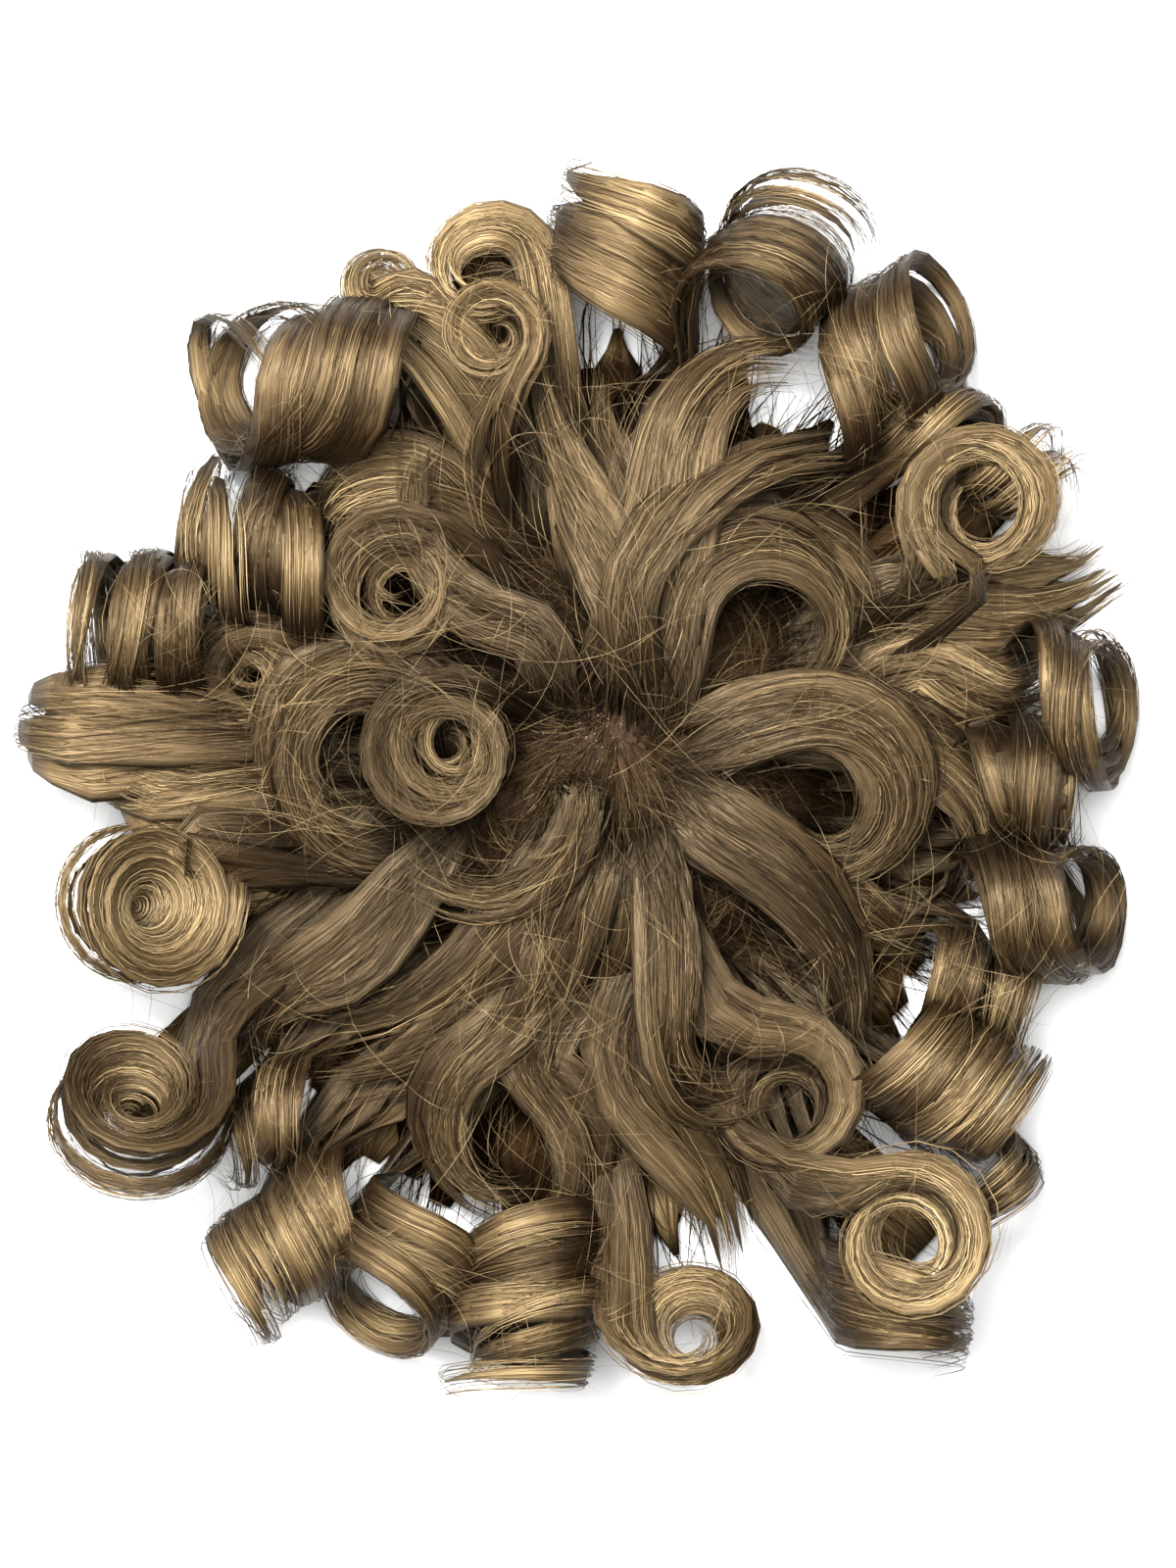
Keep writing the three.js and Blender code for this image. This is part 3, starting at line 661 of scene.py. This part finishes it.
def wisps_of(lock, path, random):
    """The fine wisps of a strip: rooted round its root, drawn into it in clumps, and loose at its tip."""
    count = WISPS.flat if lock.flat else WISPS.curled
    upper = round(count * WISPS.on_top)
    seats = np.concatenate([spaced(upper, random), spaced(count - upper, random)])
    side = np.where(np.arange(count) < upper, 1.0, -1.0)[:, None]
    clumps = CLUMPS.count
    clump = ((seats + 0.5) * clumps + random.normal(0, CLUMPS.play, count)).astype(int)
    clump = np.clip(clump, 0, clumps - 1)
    centre = ((clump + 0.5) / clumps - 0.5)[:, None]
    clump = clump + np.where(side[:, 0] > 0, 0, clumps)
    edge = (2 * (lock.seat + STRIPS.width * seats)) ** 2
    begin = path.tip * WISPS.late * random.random(count) ** 2
    short = WISPS.early * (random.random(count) < WISPS.early_part)
    ending = WISPS.uneven * random.random(2 * clumps)[clump]
    end = path.tip * (1 - ending + PAST_TIP * random.random(count) - short - WISPS.round * edge)
    run = np.linspace(0, 1, path.tip // lock.coarse + 1)
    places = begin[:, None] + (end - begin)[:, None] * run
    share = along(path, "share", places)
    broad, thick = fullness(lock, share)
    drawn = CLUMPS.pinch * ease(run, CLUMPS.pinched)
    seat = lock.seat + STRIPS.width * blend(seats[:, None], centre, drawn)
    stray = random.random((count, 1)) < STRIPS.stray
    far = STRIPS.flat_stray if lock.flat else STRIPS.curl_stray
    strayed = 1 + far * random.random((count, 1)) * ease(share, 0, STRIPS.strayed)
    seat = seat * np.where(stray, strayed, 1.0)
    clump_phase = random.random((2, 2 * clumps))[:, clump, None] * 2 * np.pi
    clump_pace = random.uniform(*CLUMPS.paces, 2 * clumps)[clump, None]
    own_phase = random.random((count, 1)) * 2 * np.pi
    own_pace = random.uniform(*CLUMPS.own_paces, (count, 1))
    arch = np.sqrt(np.maximum(1 - (2 * seat) ** 2, WISPS.least_arch))
    seat = seat + CLUMPS.wander * np.sin(clump_pace * share + clump_phase[0])
    seat = seat + CLUMPS.own_wander * np.sin(own_pace * share + own_phase)
    layer = WISPS.layer * side * arch * random.uniform(*WISPS.layer_play, (count, 1))
    layer = layer + CLUMPS.layer * np.sin(clump_pace * share + clump_phase[1])
    up, across, centres = (along(path, key, places) for key in ("up", "across", "points"))
    centres = centres + across * (seat * lock.width * broad)[..., None]
    centres = centres + up * (layer * lock.thick * thick)[..., None]
    if lock.name in LENSES:
        centres = centres - lens_shift(path, seat, share)
    scatter = random.normal(0, WISPS.scatter * TIERS[lock.tier].root, (count, 1, 2))
    centres[..., :2] += scatter * (1 - ease(share, 0, WISPS.gathered))[..., None]
    centres = from_ground(centres, ease(share, 0, WISPS.risen))
    taper = np.minimum(1, WISPS.root_slim + WISPS.root_gain * run)
    taper = taper * (1 - WISPS.tip_slim * ease(run, WISPS.tip))
    half = 0.5 * WISPS.width * random.uniform(*WISPS.width_play, (count, 1)) * taper
    tone = lock.tone + WISPS.tone * random.uniform(-1, 1, count)
    # Painted shade: wisps towards a strip's edges are darker, where strips and turns overlap.
    tone = tone - STRIPS.edge * np.minimum(edge, WISPS.most_edge)
    tone = tone + CLUMPS.tone * random.uniform(-1, 1, 2 * clumps)[clump]
    tone = tone[:, None] - lead_dark(lock, share)
    return strands(centres, across, up, half, half * FLATTEN, tone, share, WISPS.sides)


def lens_shift(path, seat, share):
    """How far a lens-shaped roll's wisps are drawn back at its sides and bowed in its middle."""
    outward = unit(path.points[path.tip] - path.points[0])
    back = LENS.round * (2 * seat) ** 2 * ease(share, 0, LENS.end)
    bow = LENS.bow * np.sin(np.pi * np.clip(share / LENS.end, 0, 1))
    return outward * back[..., None] + path.across[0] * bow[..., None]


def spaced(count, random):
    """Seats across a lock, evenly spaced with a little play, from edge to edge."""
    return (np.arange(count) + random.uniform(0.1, 0.9, count)) / count - 0.5


def bake_columns(groups):
    """The left edge and width of each strand's column in the bake map, broader strands in broader columns."""
    weights = np.concatenate([np.sqrt(group["girth"]) for group in groups])
    edges = np.concatenate([[0], np.cumsum(weights)]) / weights.sum()
    splits = np.cumsum([len(group["girth"]) for group in groups])[:-1]
    return zip(np.split(edges[:-1], splits), np.split(np.diff(edges), splits))


def ring_quads(row, side, sides):
    """Quads from rings of points, the first of which is row, to the next rings."""
    beside = (side + 1) % sides
    return np.stack([row + side, row + beside, row + sides + beside, row + sides + side], axis=-1)


def quad_map(left, right, low, high):
    """Map places of the corners of ring_quads."""
    pairs = ((left, low), (right, low), (right, high), (left, high))
    return np.stack([np.stack(pair, axis=-1) for pair in pairs], axis=-2).reshape(-1, 2)


def strand_faces(group, first_point, offset, column_left, column_width):
    """Quads round each strand and a cap at each end, with their places in the flow and bake maps."""
    count, samples, sides = group["points"].shape[:3]
    lengths, girths = group["lengths"], group["girth"]
    strand, ring, side = np.indices((count, samples - 1, sides))
    corners = ring_quads((strand * samples + ring) * sides + first_point, side, sides)
    left, right = side / sides, (side + 1) / sides
    offset = FLOW.strands_apart * np.arange(count) + offset
    girth, start = girths[strand], offset[strand]
    low, high = lengths[strand, ring], lengths[strand, ring + 1]
    flow = quad_map(left * girth + start, right * girth + start, low, high)
    cell = quad_map(left, right, ring / (samples - 1), (ring + 1) / (samples - 1))
    starts = np.arange(count)[:, None] * samples * sides + first_point
    caps_low = starts + np.arange(sides)[::-1]
    caps_high = starts + (samples - 1) * sides + np.arange(sides)
    cap_owner = np.repeat(np.tile(np.arange(count), 2), sides)
    cap_end = np.repeat([0.0, 1.0], count * sides)
    cap_left = np.tile(np.arange(sides) / sides, 2 * count)
    cap_length = np.where(cap_end > 0, lengths[cap_owner, -1], 0.0)
    cap_flow = np.stack([cap_left * girths[cap_owner] + offset[cap_owner], cap_length], axis=-1)
    cell = np.concatenate([cell, np.stack([cap_left, cap_end], axis=-1)])
    owner = np.concatenate([np.repeat(strand.ravel(), 4), cap_owner])
    across = column_left[owner] + column_width[owner] * (BAKE.left + BAKE.width * cell[:, 0])
    return {
        "corners": np.concatenate([corners.ravel(), caps_low.ravel(), caps_high.ravel()]),
        "counts": np.repeat([4, sides], [corners.size // 4, 2 * count]),
        "flow": np.concatenate([flow, cap_flow]),
        "bake": np.stack([across, BAKE.foot + BAKE.height * cell[:, 1]], axis=-1),
    }


def mesh_object(name, points, corners, counts, material, maps, attributes):
    """A smooth mesh from arrays, in metres and in the row's frame."""
    mesh = bpy.data.meshes.new(name)
    mesh.vertices.add(len(points))
    mesh.vertices.foreach_set("co", ((points + SHIFT) * MM).astype(np.float32).ravel())
    mesh.loops.add(len(corners))
    mesh.loops.foreach_set("vertex_index", corners.astype(np.int32))
    mesh.polygons.add(len(counts))
    starts = np.concatenate([[0], np.cumsum(counts)[:-1]])
    mesh.polygons.foreach_set("loop_start", starts.astype(np.int32))
    mesh.polygons.foreach_set("use_smooth", np.ones(len(counts), bool))
    for map_name, places in maps.items():
        layer = mesh.uv_layers.new(name=map_name)
        layer.data.foreach_set("uv", places.astype(np.float32).ravel())
    for attribute_name, values in attributes.items():
        attribute = mesh.attributes.new(attribute_name, "FLOAT", "POINT")
        attribute.data.foreach_set("value", values.astype(np.float32).ravel())
    mesh.update()
    mesh.validate()
    mesh.materials.append(material)
    made = bpy.data.objects.new(name, mesh)
    bpy.context.scene.collection.objects.link(made)
    return made


def strand_object(name, groups, material):
    """One object from groups of strands, with a flow map in millimetres and a bake map of columns."""
    made = []
    first = 0
    for place, (group, columns) in enumerate(zip(groups, bake_columns(groups))):
        part = strand_faces(group, first, FLOW.groups_apart * place, *columns)
        part["points"] = group["points"].reshape(-1, 3)
        for key in ("tone", "share"):
            part[key] = group[key].ravel()
        made.append(part)
        first += len(part["points"])
    whole = {key: np.concatenate([part[key] for part in made]) for key in made[0]}
    maps = {"flow": whole["flow"], "OFBake": whole["bake"]}
    attributes = {"tone": whole["tone"], "share": whole["share"]}
    return mesh_object(name, whole["points"], whole["corners"], whole["counts"], material, maps, attributes)


def feed(tree, made, inputs):
    """Sets a node's inputs: a socket is linked and a value is set."""
    for key, value in inputs.items():
        if isinstance(value, bpy.types.NodeSocket):
            tree.links.new(value, made.inputs[key])
        else:
            made.inputs[key].default_value = value


def node(tree, kind, inputs=None, **settings):
    """A shader node with its settings and inputs."""
    made = tree.nodes.new(kind)
    for key, value in settings.items():
        setattr(made, key, value)
    feed(tree, made, inputs or {})
    return made


def math_node(tree, operation, *values):
    return node(tree, "ShaderNodeMath", dict(enumerate(values)), operation=operation).outputs[0]


def ramp(tree, factor, stops):
    made = node(tree, "ShaderNodeValToRGB", {0: factor})
    elements = made.color_ramp.elements
    while len(elements) < len(stops):
        elements.new(0.5)
    for element, (position, colour) in zip(elements, stops):
        element.position = position
        element.color = (*colour, 1)
    return made.outputs[0]


def bump(tree, height, strength, distance):
    inputs = {"Height": height, "Strength": strength, "Distance": distance * MM}
    return node(tree, "ShaderNodeBump", inputs).outputs[0]


def new_material(name):
    material = bpy.data.materials.new(name)
    material.use_nodes = True
    tree = material.node_tree
    return material, tree, tree.nodes["Principled BSDF"]


def hair_material(name, finish):
    """Dark blonde hair: darker at the root, partly as painted shade, golden towards the tip, with fine
    streaks along the flow; the tone it reads also holds the painted shade of the pile.
    """
    material, tree, shader = new_material(name)
    flow = node(tree, "ShaderNodeUVMap", uv_map="flow").outputs[0]
    tone = node(tree, "ShaderNodeAttribute", attribute_name="tone").outputs["Fac"]
    share = node(tree, "ShaderNodeAttribute", attribute_name="share").outputs["Fac"]
    fine = streaks(tree, flow, STREAKS.fine)
    broad = streaks(tree, flow, STREAKS.broad)
    golden = math_node(tree, "MULTIPLY", share, GOLDEN_TIP)
    lifted = math_node(tree, "ADD", tone, golden)
    streak = math_node(tree, "MULTIPLY_ADD", fine, STREAKS.fine_tone, -STREAKS.fine_tone / 2)
    patch = math_node(tree, "MULTIPLY_ADD", broad, STREAKS.broad_tone, -STREAKS.broad_tone / 2)
    total = math_node(tree, "ADD", lifted, math_node(tree, "ADD", streak, patch))
    relief = math_node(tree, "ADD", fine, broad)
    feed(tree, shader, {
        "Base Color": ramp(tree, total, HAIR_TONES),
        "Normal": bump(tree, relief, strength=1.0, distance=0.5),
        "Roughness": finish.roughness,
        "Specular IOR Level": finish.shine,
        "Specular Tint": SHINE_TINT,
    })
    return material


def streaks(tree, flow, scale):
    """Noise drawn out along the flow."""
    place = node(tree, "ShaderNodeMapping", {"Vector": flow, "Scale": scale}).outputs[0]
    made = node(tree, "ShaderNodeTexNoise", {"Vector": place, "Scale": 1.0, "Detail": 3.0, "Roughness": 0.6})
    return made.outputs["Fac"]


def lace_material():
    """Brown lace with a fine net and a scalp tone that varies."""
    material, tree, shader = new_material("lace")
    place = node(tree, "ShaderNodeTexCoord").outputs["Object"]
    net = node(tree, "ShaderNodeTexVoronoi", {"Vector": place, "Scale": 900.0}, feature="DISTANCE_TO_EDGE")
    patch = node(tree, "ShaderNodeTexNoise", {"Vector": place, "Scale": 60.0, "Detail": 4.0})
    thread = ramp(tree, net.outputs["Distance"], [(0.0, (1.0, 1.0, 1.0)), (0.16, (0.0, 0.0, 0.0))])
    skin = ramp(tree, patch.outputs["Fac"], [(0.3, (0.016, 0.0085, 0.004)), (0.7, (0.034, 0.018, 0.0088))])
    thread_colour = (0.06, 0.034, 0.018, 1)
    mix = {0: math_node(tree, "MULTIPLY", thread, 0.5), 6: skin, 7: thread_colour}
    feed(tree, shader, {
        "Base Color": node(tree, "ShaderNodeMix", mix, data_type="RGBA").outputs[2],
        "Normal": bump(tree, thread, strength=0.6, distance=0.2),
        "Roughness": 0.8,
        "Specular IOR Level": 0.1,
    })
    return material


def knot_material():
    """Pale knots that tie the hairs to the lace."""
    material, tree, shader = new_material("knots")
    place = node(tree, "ShaderNodeTexCoord").outputs["Object"]
    patch = node(tree, "ShaderNodeTexNoise", {"Vector": place, "Scale": 700.0, "Detail": 2.0})
    colour = ramp(tree, patch.outputs["Fac"], [(0.3, (0.14, 0.078, 0.043)), (0.7, (0.46, 0.31, 0.2))])
    feed(tree, shader, {"Base Color": colour, "Roughness": 0.45})
    return material


def add_piece(piece, slot, *nodes):
    """A piece rides on the part's one body and stands for its nodes, which it hides; its slot is not used."""
    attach(piece, "root")
    if nodes:
        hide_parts(*nodes)


def add_locks(material):
    """Every lock as a core and strips of hair over it."""
    for lock, path in PATHS:
        random = np.random.default_rng(RANDOM.integers(1 << 30))
        lock.tone = TIERS[lock.tier].tone + lock.lighter
        lock.tone += LOCK_TONE_PLAY * random.uniform(-1, 1)
        groups = [core_of(lock, path, CORE, random), *strips_of(lock, random)]
        piece = strand_object(lock.name + "_hair", groups, material)
        add_piece(piece, "hair", lock.name)


def level_frame(centres):
    """Up and across directions of strands that run level."""
    runs = unit(np.gradient(centres, axis=1))
    up = square(np.broadcast_to(UP, runs.shape), runs)
    return up, np.cross(up, runs)


def flat_strands(starts, headings, curves, lengths, heights, width, samples, tone, random):
    """Thin strands that run level: each leaves along its heading, bends evenly and waves a little."""
    count = len(starts)
    share = np.broadcast_to(np.linspace(0, 1, samples), (count, samples))
    waves = random.normal(0, LEVEL.wave, (count, 1))
    paces = random.uniform(*LEVEL.paces, (count, 1))
    phases = random.uniform(*LEVEL.phases, (count, 1))
    heading = headings[:, None] + curves[:, None] * share + waves * np.sin(paces * share + phases)
    moves = compass(heading) * (lengths / (samples - 1))[:, None, None]
    moves[:, 0] = 0
    centres = np.zeros((count, samples, 3))
    centres[..., :2] = starts[:, None, :2] + np.cumsum(moves, axis=1)
    centres[..., 2] = heights(centres, share)
    up, across = level_frame(centres)
    half = 0.5 * width[:, None] * (1 - LEVEL.tip_slim * ease(share, LEVEL.tip))
    return strands(centres, across, up, half, half * FLATTEN, tone, LEVEL.share * share, LEVEL.sides)


def under_rim(turn, reach):
    """Places on the table at a share of the way out to where the hair under the curls ends."""
    rim = UNDER_HALF * compass(turn)
    rim = rim * (1 + UNDER_CORNER * np.sin(2 * turn) ** 2)[:, None]
    return UNDER_MIDDLE + rim * reach[:, None]


def axis_place(lock, share):
    """The place under a curl at a share of the way along its axis."""
    along_axis = share * lock.advance * math.cos(math.radians(lock.dip))
    return np.array([lock.x, lock.y]) + along_axis * compass(math.radians(lock.heading))


def under_curls():
    """Hair that goes under each outer curl: its root's direction, its end and whether a ring hides it."""
    outer = [lock for lock, _ in PATHS if lock.tier == "outer" and not lock.flat]
    far = np.array([axis_place(lock, UNDER.along_curl) for lock in outer])
    hidden = np.array([lock.funnel and lock.name not in OPEN_RINGS for lock in outer])
    far = far + unit(far - UNDER_MIDDLE) * np.where(hidden, UNDER.past_ring, 0)[:, None]
    return np.radians([lock.root for lock in outer]), far, hidden


def tongues(random):
    """Broad flat tongues of hair that close the ground: all round the base, and out to each outer curl."""
    around = np.radians(np.arange(0, 360, 180 / UNDER.tongues))
    ends = under_rim(around, random.uniform(*TONGUES.reach, len(around)))
    roots, far, hidden = under_curls()
    far = UNDER_MIDDLE + (far - UNDER_MIDDLE) * np.where(hidden, 1.0, TONGUES.to_curl)[:, None]
    kinds = [ROUND_TONGUE] * len(around) + [RING_TONGUE if ring else CURL_TONGUE for ring in hidden]
    half, point, tone = np.array([(kind.half, kind.point, kind.tone) for kind in kinds]).T
    starts = base_place(np.concatenate([around, roots]), inset=TONGUES.inset)
    ends = np.concatenate([ends, far])
    count, samples, sides = len(starts), TONGUES.samples, TONGUES.sides
    share = np.broadcast_to(np.linspace(0, 1, samples), (count, samples))
    centres = np.zeros((count, samples, 3))
    centres[..., :2] = starts[:, None] + (ends - starts)[:, None] * share[..., None]
    centres[..., 2] = TONGUES.height + TONGUES.rise * random.random((count, 1))
    up, across = level_frame(centres)
    taper = 1 - point[:, None] * ease(share, TONGUES.tip)
    half_width = half[:, None] * blend(TONGUES.root_half, 1, share) * taper
    half_thick = TONGUES.half_thick * blend(TONGUES.tip_thick, 1, taper)
    ridges = CORE.ridge * ridges_of(count, samples, sides, random)
    tone = tone + TONGUES.tone_play * random.uniform(-1, 1, count)
    return strands(centres, across, up, half_width, half_thick, tone, 0 * share, sides, ridges)


def add_under_hair(material):
    """Straight hair of the base's edge, which lies on the table in tongues under the curls."""
    random = np.random.default_rng(5)
    count = UNDER.tongues * UNDER.strands
    around = 2 * np.pi * np.repeat(np.arange(UNDER.tongues), UNDER.strands) / UNDER.tongues
    fan = random.uniform(-UNDER.fan, UNDER.fan, count) * np.pi / UNDER.tongues
    starts = base_place(around + fan, inset=UNDER.inset)
    reach = random.uniform(*UNDER.reach, count)
    spread = np.radians(UNDER.spread) * random.uniform(-1, 1, count)
    ends = under_rim(around + spread, reach)
    roots, far, _ = under_curls()
    roots, far = np.repeat(roots, UNDER.to_curl), np.repeat(far, UNDER.to_curl, axis=0)
    roots = roots + np.radians(random.normal(0, UNDER.curl_fan, len(roots)))
    starts = np.concatenate([starts, base_place(roots, UNDER.curl_root)])
    ends = np.concatenate([ends, far + random.normal(0, UNDER.curl_spread, far.shape)])
    count = len(starts)
    gap = ends - starts
    curves = np.radians(UNDER.bend) * random.uniform(-1, 1, count)
    headings = np.arctan2(gap[:, 1], gap[:, 0]) - curves / 2
    layer = random.uniform(*UNDER.layer, count)

    def heights(centres, share):
        phase = np.pi * blend(UNDER.root_phase, UNDER.tip_phase, share)
        return ground(centres) + UNDER.lift + layer[:, None] * np.sin(phase)

    width = random.uniform(*UNDER.width, count)
    tone = UNDER.tone + UNDER.tone_play * random.uniform(-1, 1, count)
    lengths = np.linalg.norm(gap, axis=1)
    group = flat_strands(starts, headings, curves, lengths, heights, width, UNDER.samples, tone, random)
    add_piece(strand_object("under_hair_strands", [tongues(random), group], material), "hair", "under_hair")


def add_crown_hair(material):
    """Hair that lies on the base between the locks: single hairs round the whorl, and tufts farther out."""
    random = np.random.default_rng(11)
    near, tufts = CROWN.near, CROWN.tufts
    turn = random.random(near) * 2 * np.pi
    out = random.uniform(WHORL.bare, CROWN.near_reach, near)
    near_starts = WHORL.place + compass(turn) * out[:, None]
    tuft_turn = 2 * np.pi * (np.arange(tufts) + random.uniform(0, 1, tufts)) * CROWN.tuft_turn
    tuft_share = np.sqrt(random.uniform(*CROWN.tuft_area, tufts))
    tuft = np.repeat(np.arange(tufts), CROWN.in_tuft)
    tuft_starts = base_place(tuft_turn, tuft_share)[tuft]
    tuft_starts = tuft_starts + random.normal(0, CROWN.tuft, tuft_starts.shape)
    starts = np.concatenate([near_starts, tuft_starts])
    count = len(starts)

    def own_way(play):
        single = random.normal(play.middle, play.near, near)
        in_tuft = random.normal(0, play.hair, len(tuft)) + random.normal(0, play.tuft, tufts)[tuft]
        return np.radians(np.concatenate([single, in_tuft]))

    away = starts - WHORL.place
    headings = np.arctan2(away[:, 1], away[:, 0]) + np.radians(WHORL.swirl) + own_way(CROWN_HEADING)
    bends = own_way(CROWN_BEND)
    lengths = random.uniform(CROWN.shortest, CROWN.longest, count)
    even = random.uniform(CROWN.tuft_shortest * CROWN.longest, CROWN.longest, tufts)[tuft]
    lengths[near:] = even * random.uniform(*CROWN.uneven, len(tuft))
    lift = CROWN.lift * random.uniform(*CROWN.lift_play, count)
    lift[near:] += random.uniform(0, CROWN.lift, tufts)[tuft]

    def heights(centres, share):
        return ground(centres) + FLOOR_LIFT + lift[:, None] * np.sin(np.pi * share)

    width = CROWN.width * random.uniform(*CROWN.width_play, count)
    tuft_tone = CROWN.tuft_tone + random.normal(0, CROWN.tuft_tone_play, tufts)
    tone = np.concatenate([np.full(near, CROWN.near_tone), tuft_tone[tuft]])
    tone = tone + CROWN.tone_play * random.uniform(-1, 1, count)
    group = flat_strands(starts, headings, bends, lengths, heights, width, CROWN.samples, tone, random)
    add_piece(strand_object("crown_hair", [group], material), "hair")


def add_flyaways(material):
    """Single stray hairs that leave the locks and cross the gaps between them."""
    random = np.random.default_rng(3)
    count = FLYAWAYS.count
    picks = random.integers(0, len(PATHS), count)
    starts = np.zeros((count, 3))
    headings = np.zeros(count)
    for k, pick in enumerate(picks):
        lock, path = PATHS[pick]
        place = int(path.tip * random.uniform(*FLYAWAYS.places))
        starts[k] = path.points[place] + path.up[place] * FLYAWAYS.off * lock.thick
        run = path.runs[place]
        headings[k] = math.atan2(run[1], run[0])
    headings += np.radians(random.normal(0, FLYAWAYS.turn, count))
    curves = np.radians(random.normal(0, FLYAWAYS.bend, count))
    lengths = random.uniform(FLYAWAYS.shortest, FLYAWAYS.longest, count)
    lift = random.uniform(*FLYAWAYS.lift, count)

    def heights(centres, share):
        top = np.maximum(FLYAWAYS.above * PILE.at(centres), ground(centres))
        return top + lift[:, None] * (FLYAWAYS.end_lift + np.sin(np.pi * share))

    width = FLYAWAYS.width * random.uniform(*FLYAWAYS.width_play, count)
    tone = FLYAWAYS.tone + FLYAWAYS.tone_play * random.uniform(-1, 1, count)
    group = flat_strands(starts, headings, curves, lengths, heights, width, FLYAWAYS.samples, tone, random)
    over_hair = PILE.at(group["points"].mean(axis=2)) > FLYAWAYS.over
    kept = np.mean(over_hair, axis=1) > FLYAWAYS.covered
    group = {key: value[kept] for key, value in group.items()}
    add_piece(strand_object("flyaway_hair", [group], material), "hair")


def add_lace(material):
    """The domed base as a fine shell with a rolled rim."""
    rings, sides = 2 * LACE.rings, LACE.sides
    share = np.linspace(1, 0, LACE.rings, endpoint=False)
    back = share[::-1]
    outer = np.stack([share * BASE_SPAN, base_height(share)], axis=-1)
    inner = np.stack([back * (BASE_SPAN - BASE.wall), base_height(back) - BASE.wall * (1 - back)], axis=-1)
    profile = np.concatenate([inner, outer])
    rim = compass(2 * np.pi * np.arange(sides) / sides) * BASE_HALF / BASE_SPAN
    points = np.zeros((rings, sides, 3))
    points[..., :2] = profile[:, None, :1] * rim + BASE_MIDDLE
    points[..., 2] = profile[:, None, 1]
    middles = np.array([[BASE.x, BASE.y, BASE.height - BASE.wall], [BASE.x, BASE.y, BASE.height]])
    ring, side = np.indices((rings - 1, sides))
    quads = ring_quads(ring * sides, side, sides)
    place = np.arange(sides)
    beside = (place + 1) % sides
    last = rings * sides
    top_ring = last - sides
    under = np.stack([np.full(sides, last), beside, place], axis=-1)
    over = np.stack([np.full(sides, last + 1), top_ring + place, top_ring + beside], axis=-1)
    corners = np.concatenate([quads.ravel(), under.ravel(), over.ravel()])
    counts = np.repeat([4, 3], [quads.size // 4, 2 * sides])
    all_points = np.concatenate([points.reshape(-1, 3), middles])
    piece = mesh_object("lace_base_net", all_points, corners, counts, material, {}, {})
    add_piece(piece, "lace", "lace_base")


def add_knots(material):
    """Small knots on the lace round the whorl, each with eight faces."""
    random = np.random.default_rng(17)
    count = KNOTS.count
    places = random.normal((KNOTS.x, KNOTS.y), KNOTS.spread, (count, 2))
    centres = np.concatenate([places, ground(places)[:, None] + FLOOR_LIFT], axis=1)
    shape = np.array([[1, 0, 0], [0, 1, 0], [-1, 0, 0], [0, -1, 0], [0, 0, 0.8], [0, 0, -0.8]])
    faces = np.array([[0, 1, 4], [1, 2, 4], [2, 3, 4], [3, 0, 4], [1, 0, 5], [2, 1, 5], [3, 2, 5], [0, 3, 5]])
    size = KNOTS.size * random.uniform(*KNOTS.size_play, (count, 1, 1))
    turn = random.random(count) * np.pi
    spin = np.zeros((count, 3, 3))
    spin[:, :2, 0] = compass(turn)
    spin[:, :2, 1] = compass(turn + np.pi / 2)
    spin[:, 2, 2] = 1
    points = centres[:, None] + np.einsum("nij,kj->nki", spin, shape * np.array(KNOTS.stretch)) * size
    corners = (np.arange(count)[:, None, None] * len(shape) + faces).ravel()
    counts = np.full(count * len(faces), 3)
    piece = mesh_object("lace_knots", points.reshape(-1, 3), corners, counts, material, {}, {})
    add_piece(piece, "lace")


def add_studio():
    """A pale floor, soft light from above and a camera that looks straight down."""
    scene = bpy.context.scene
    scene.view_settings.view_transform = "Standard"
    bpy.ops.mesh.primitive_plane_add(size=FLOOR.size)
    floor = bpy.context.object
    floor.name = "floor"
    material, tree, shader = new_material("floor")
    feed(tree, shader, {"Base Color": FLOOR.colour, "Roughness": FLOOR.roughness})
    floor.data.materials.append(material)
    world = bpy.data.worlds.new("studio")
    world.use_nodes = True
    feed(world.node_tree, world.node_tree.nodes["Background"], {0: WORLD.colour, 1: WORLD.strength})
    scene.world = world
    add_light("softbox", SOFTBOX)
    add_light("key", KEY)
    camera = bpy.data.cameras.new("camera")
    camera.lens = CAMERA.lens
    camera.sensor_width = CAMERA.sensor
    eye = bpy.data.objects.new("camera", camera)
    scene.collection.objects.link(eye)
    distance = CAMERA.shown * CAMERA.lens / CAMERA.sensor
    eye.location = (SHIFT[0] * MM, SHIFT[1] * MM, distance + CAMERA.hair_level)
    scene.camera = eye


def add_light(name, values):
    """A square lamp that shines at the middle of the floor."""
    light = bpy.data.lights.new(name, "AREA")
    light.size = values.size
    light.energy = values.power
    lamp = bpy.data.objects.new(name, light)
    bpy.context.scene.collection.objects.link(lamp)
    lamp.location = values.place
    lamp.rotation_mode = "QUATERNION"
    lamp.rotation_quaternion = (-Vector(values.place)).to_track_quat("-Z", "Y")


PATHS = [(lock, lock_path(lock)) for lock in all_locks()]
PILE = Pile(PATHS)
straight = hair_material("straight_hair", STRAIGHT_FINISH)
add_locks(hair_material("curled_hair", CURLED_FINISH))
add_under_hair(hair_material("shaded_hair", SHADED_FINISH))
add_crown_hair(straight)
add_flyaways(straight)
add_lace(lace_material())
add_knots(knot_material())
add_studio()
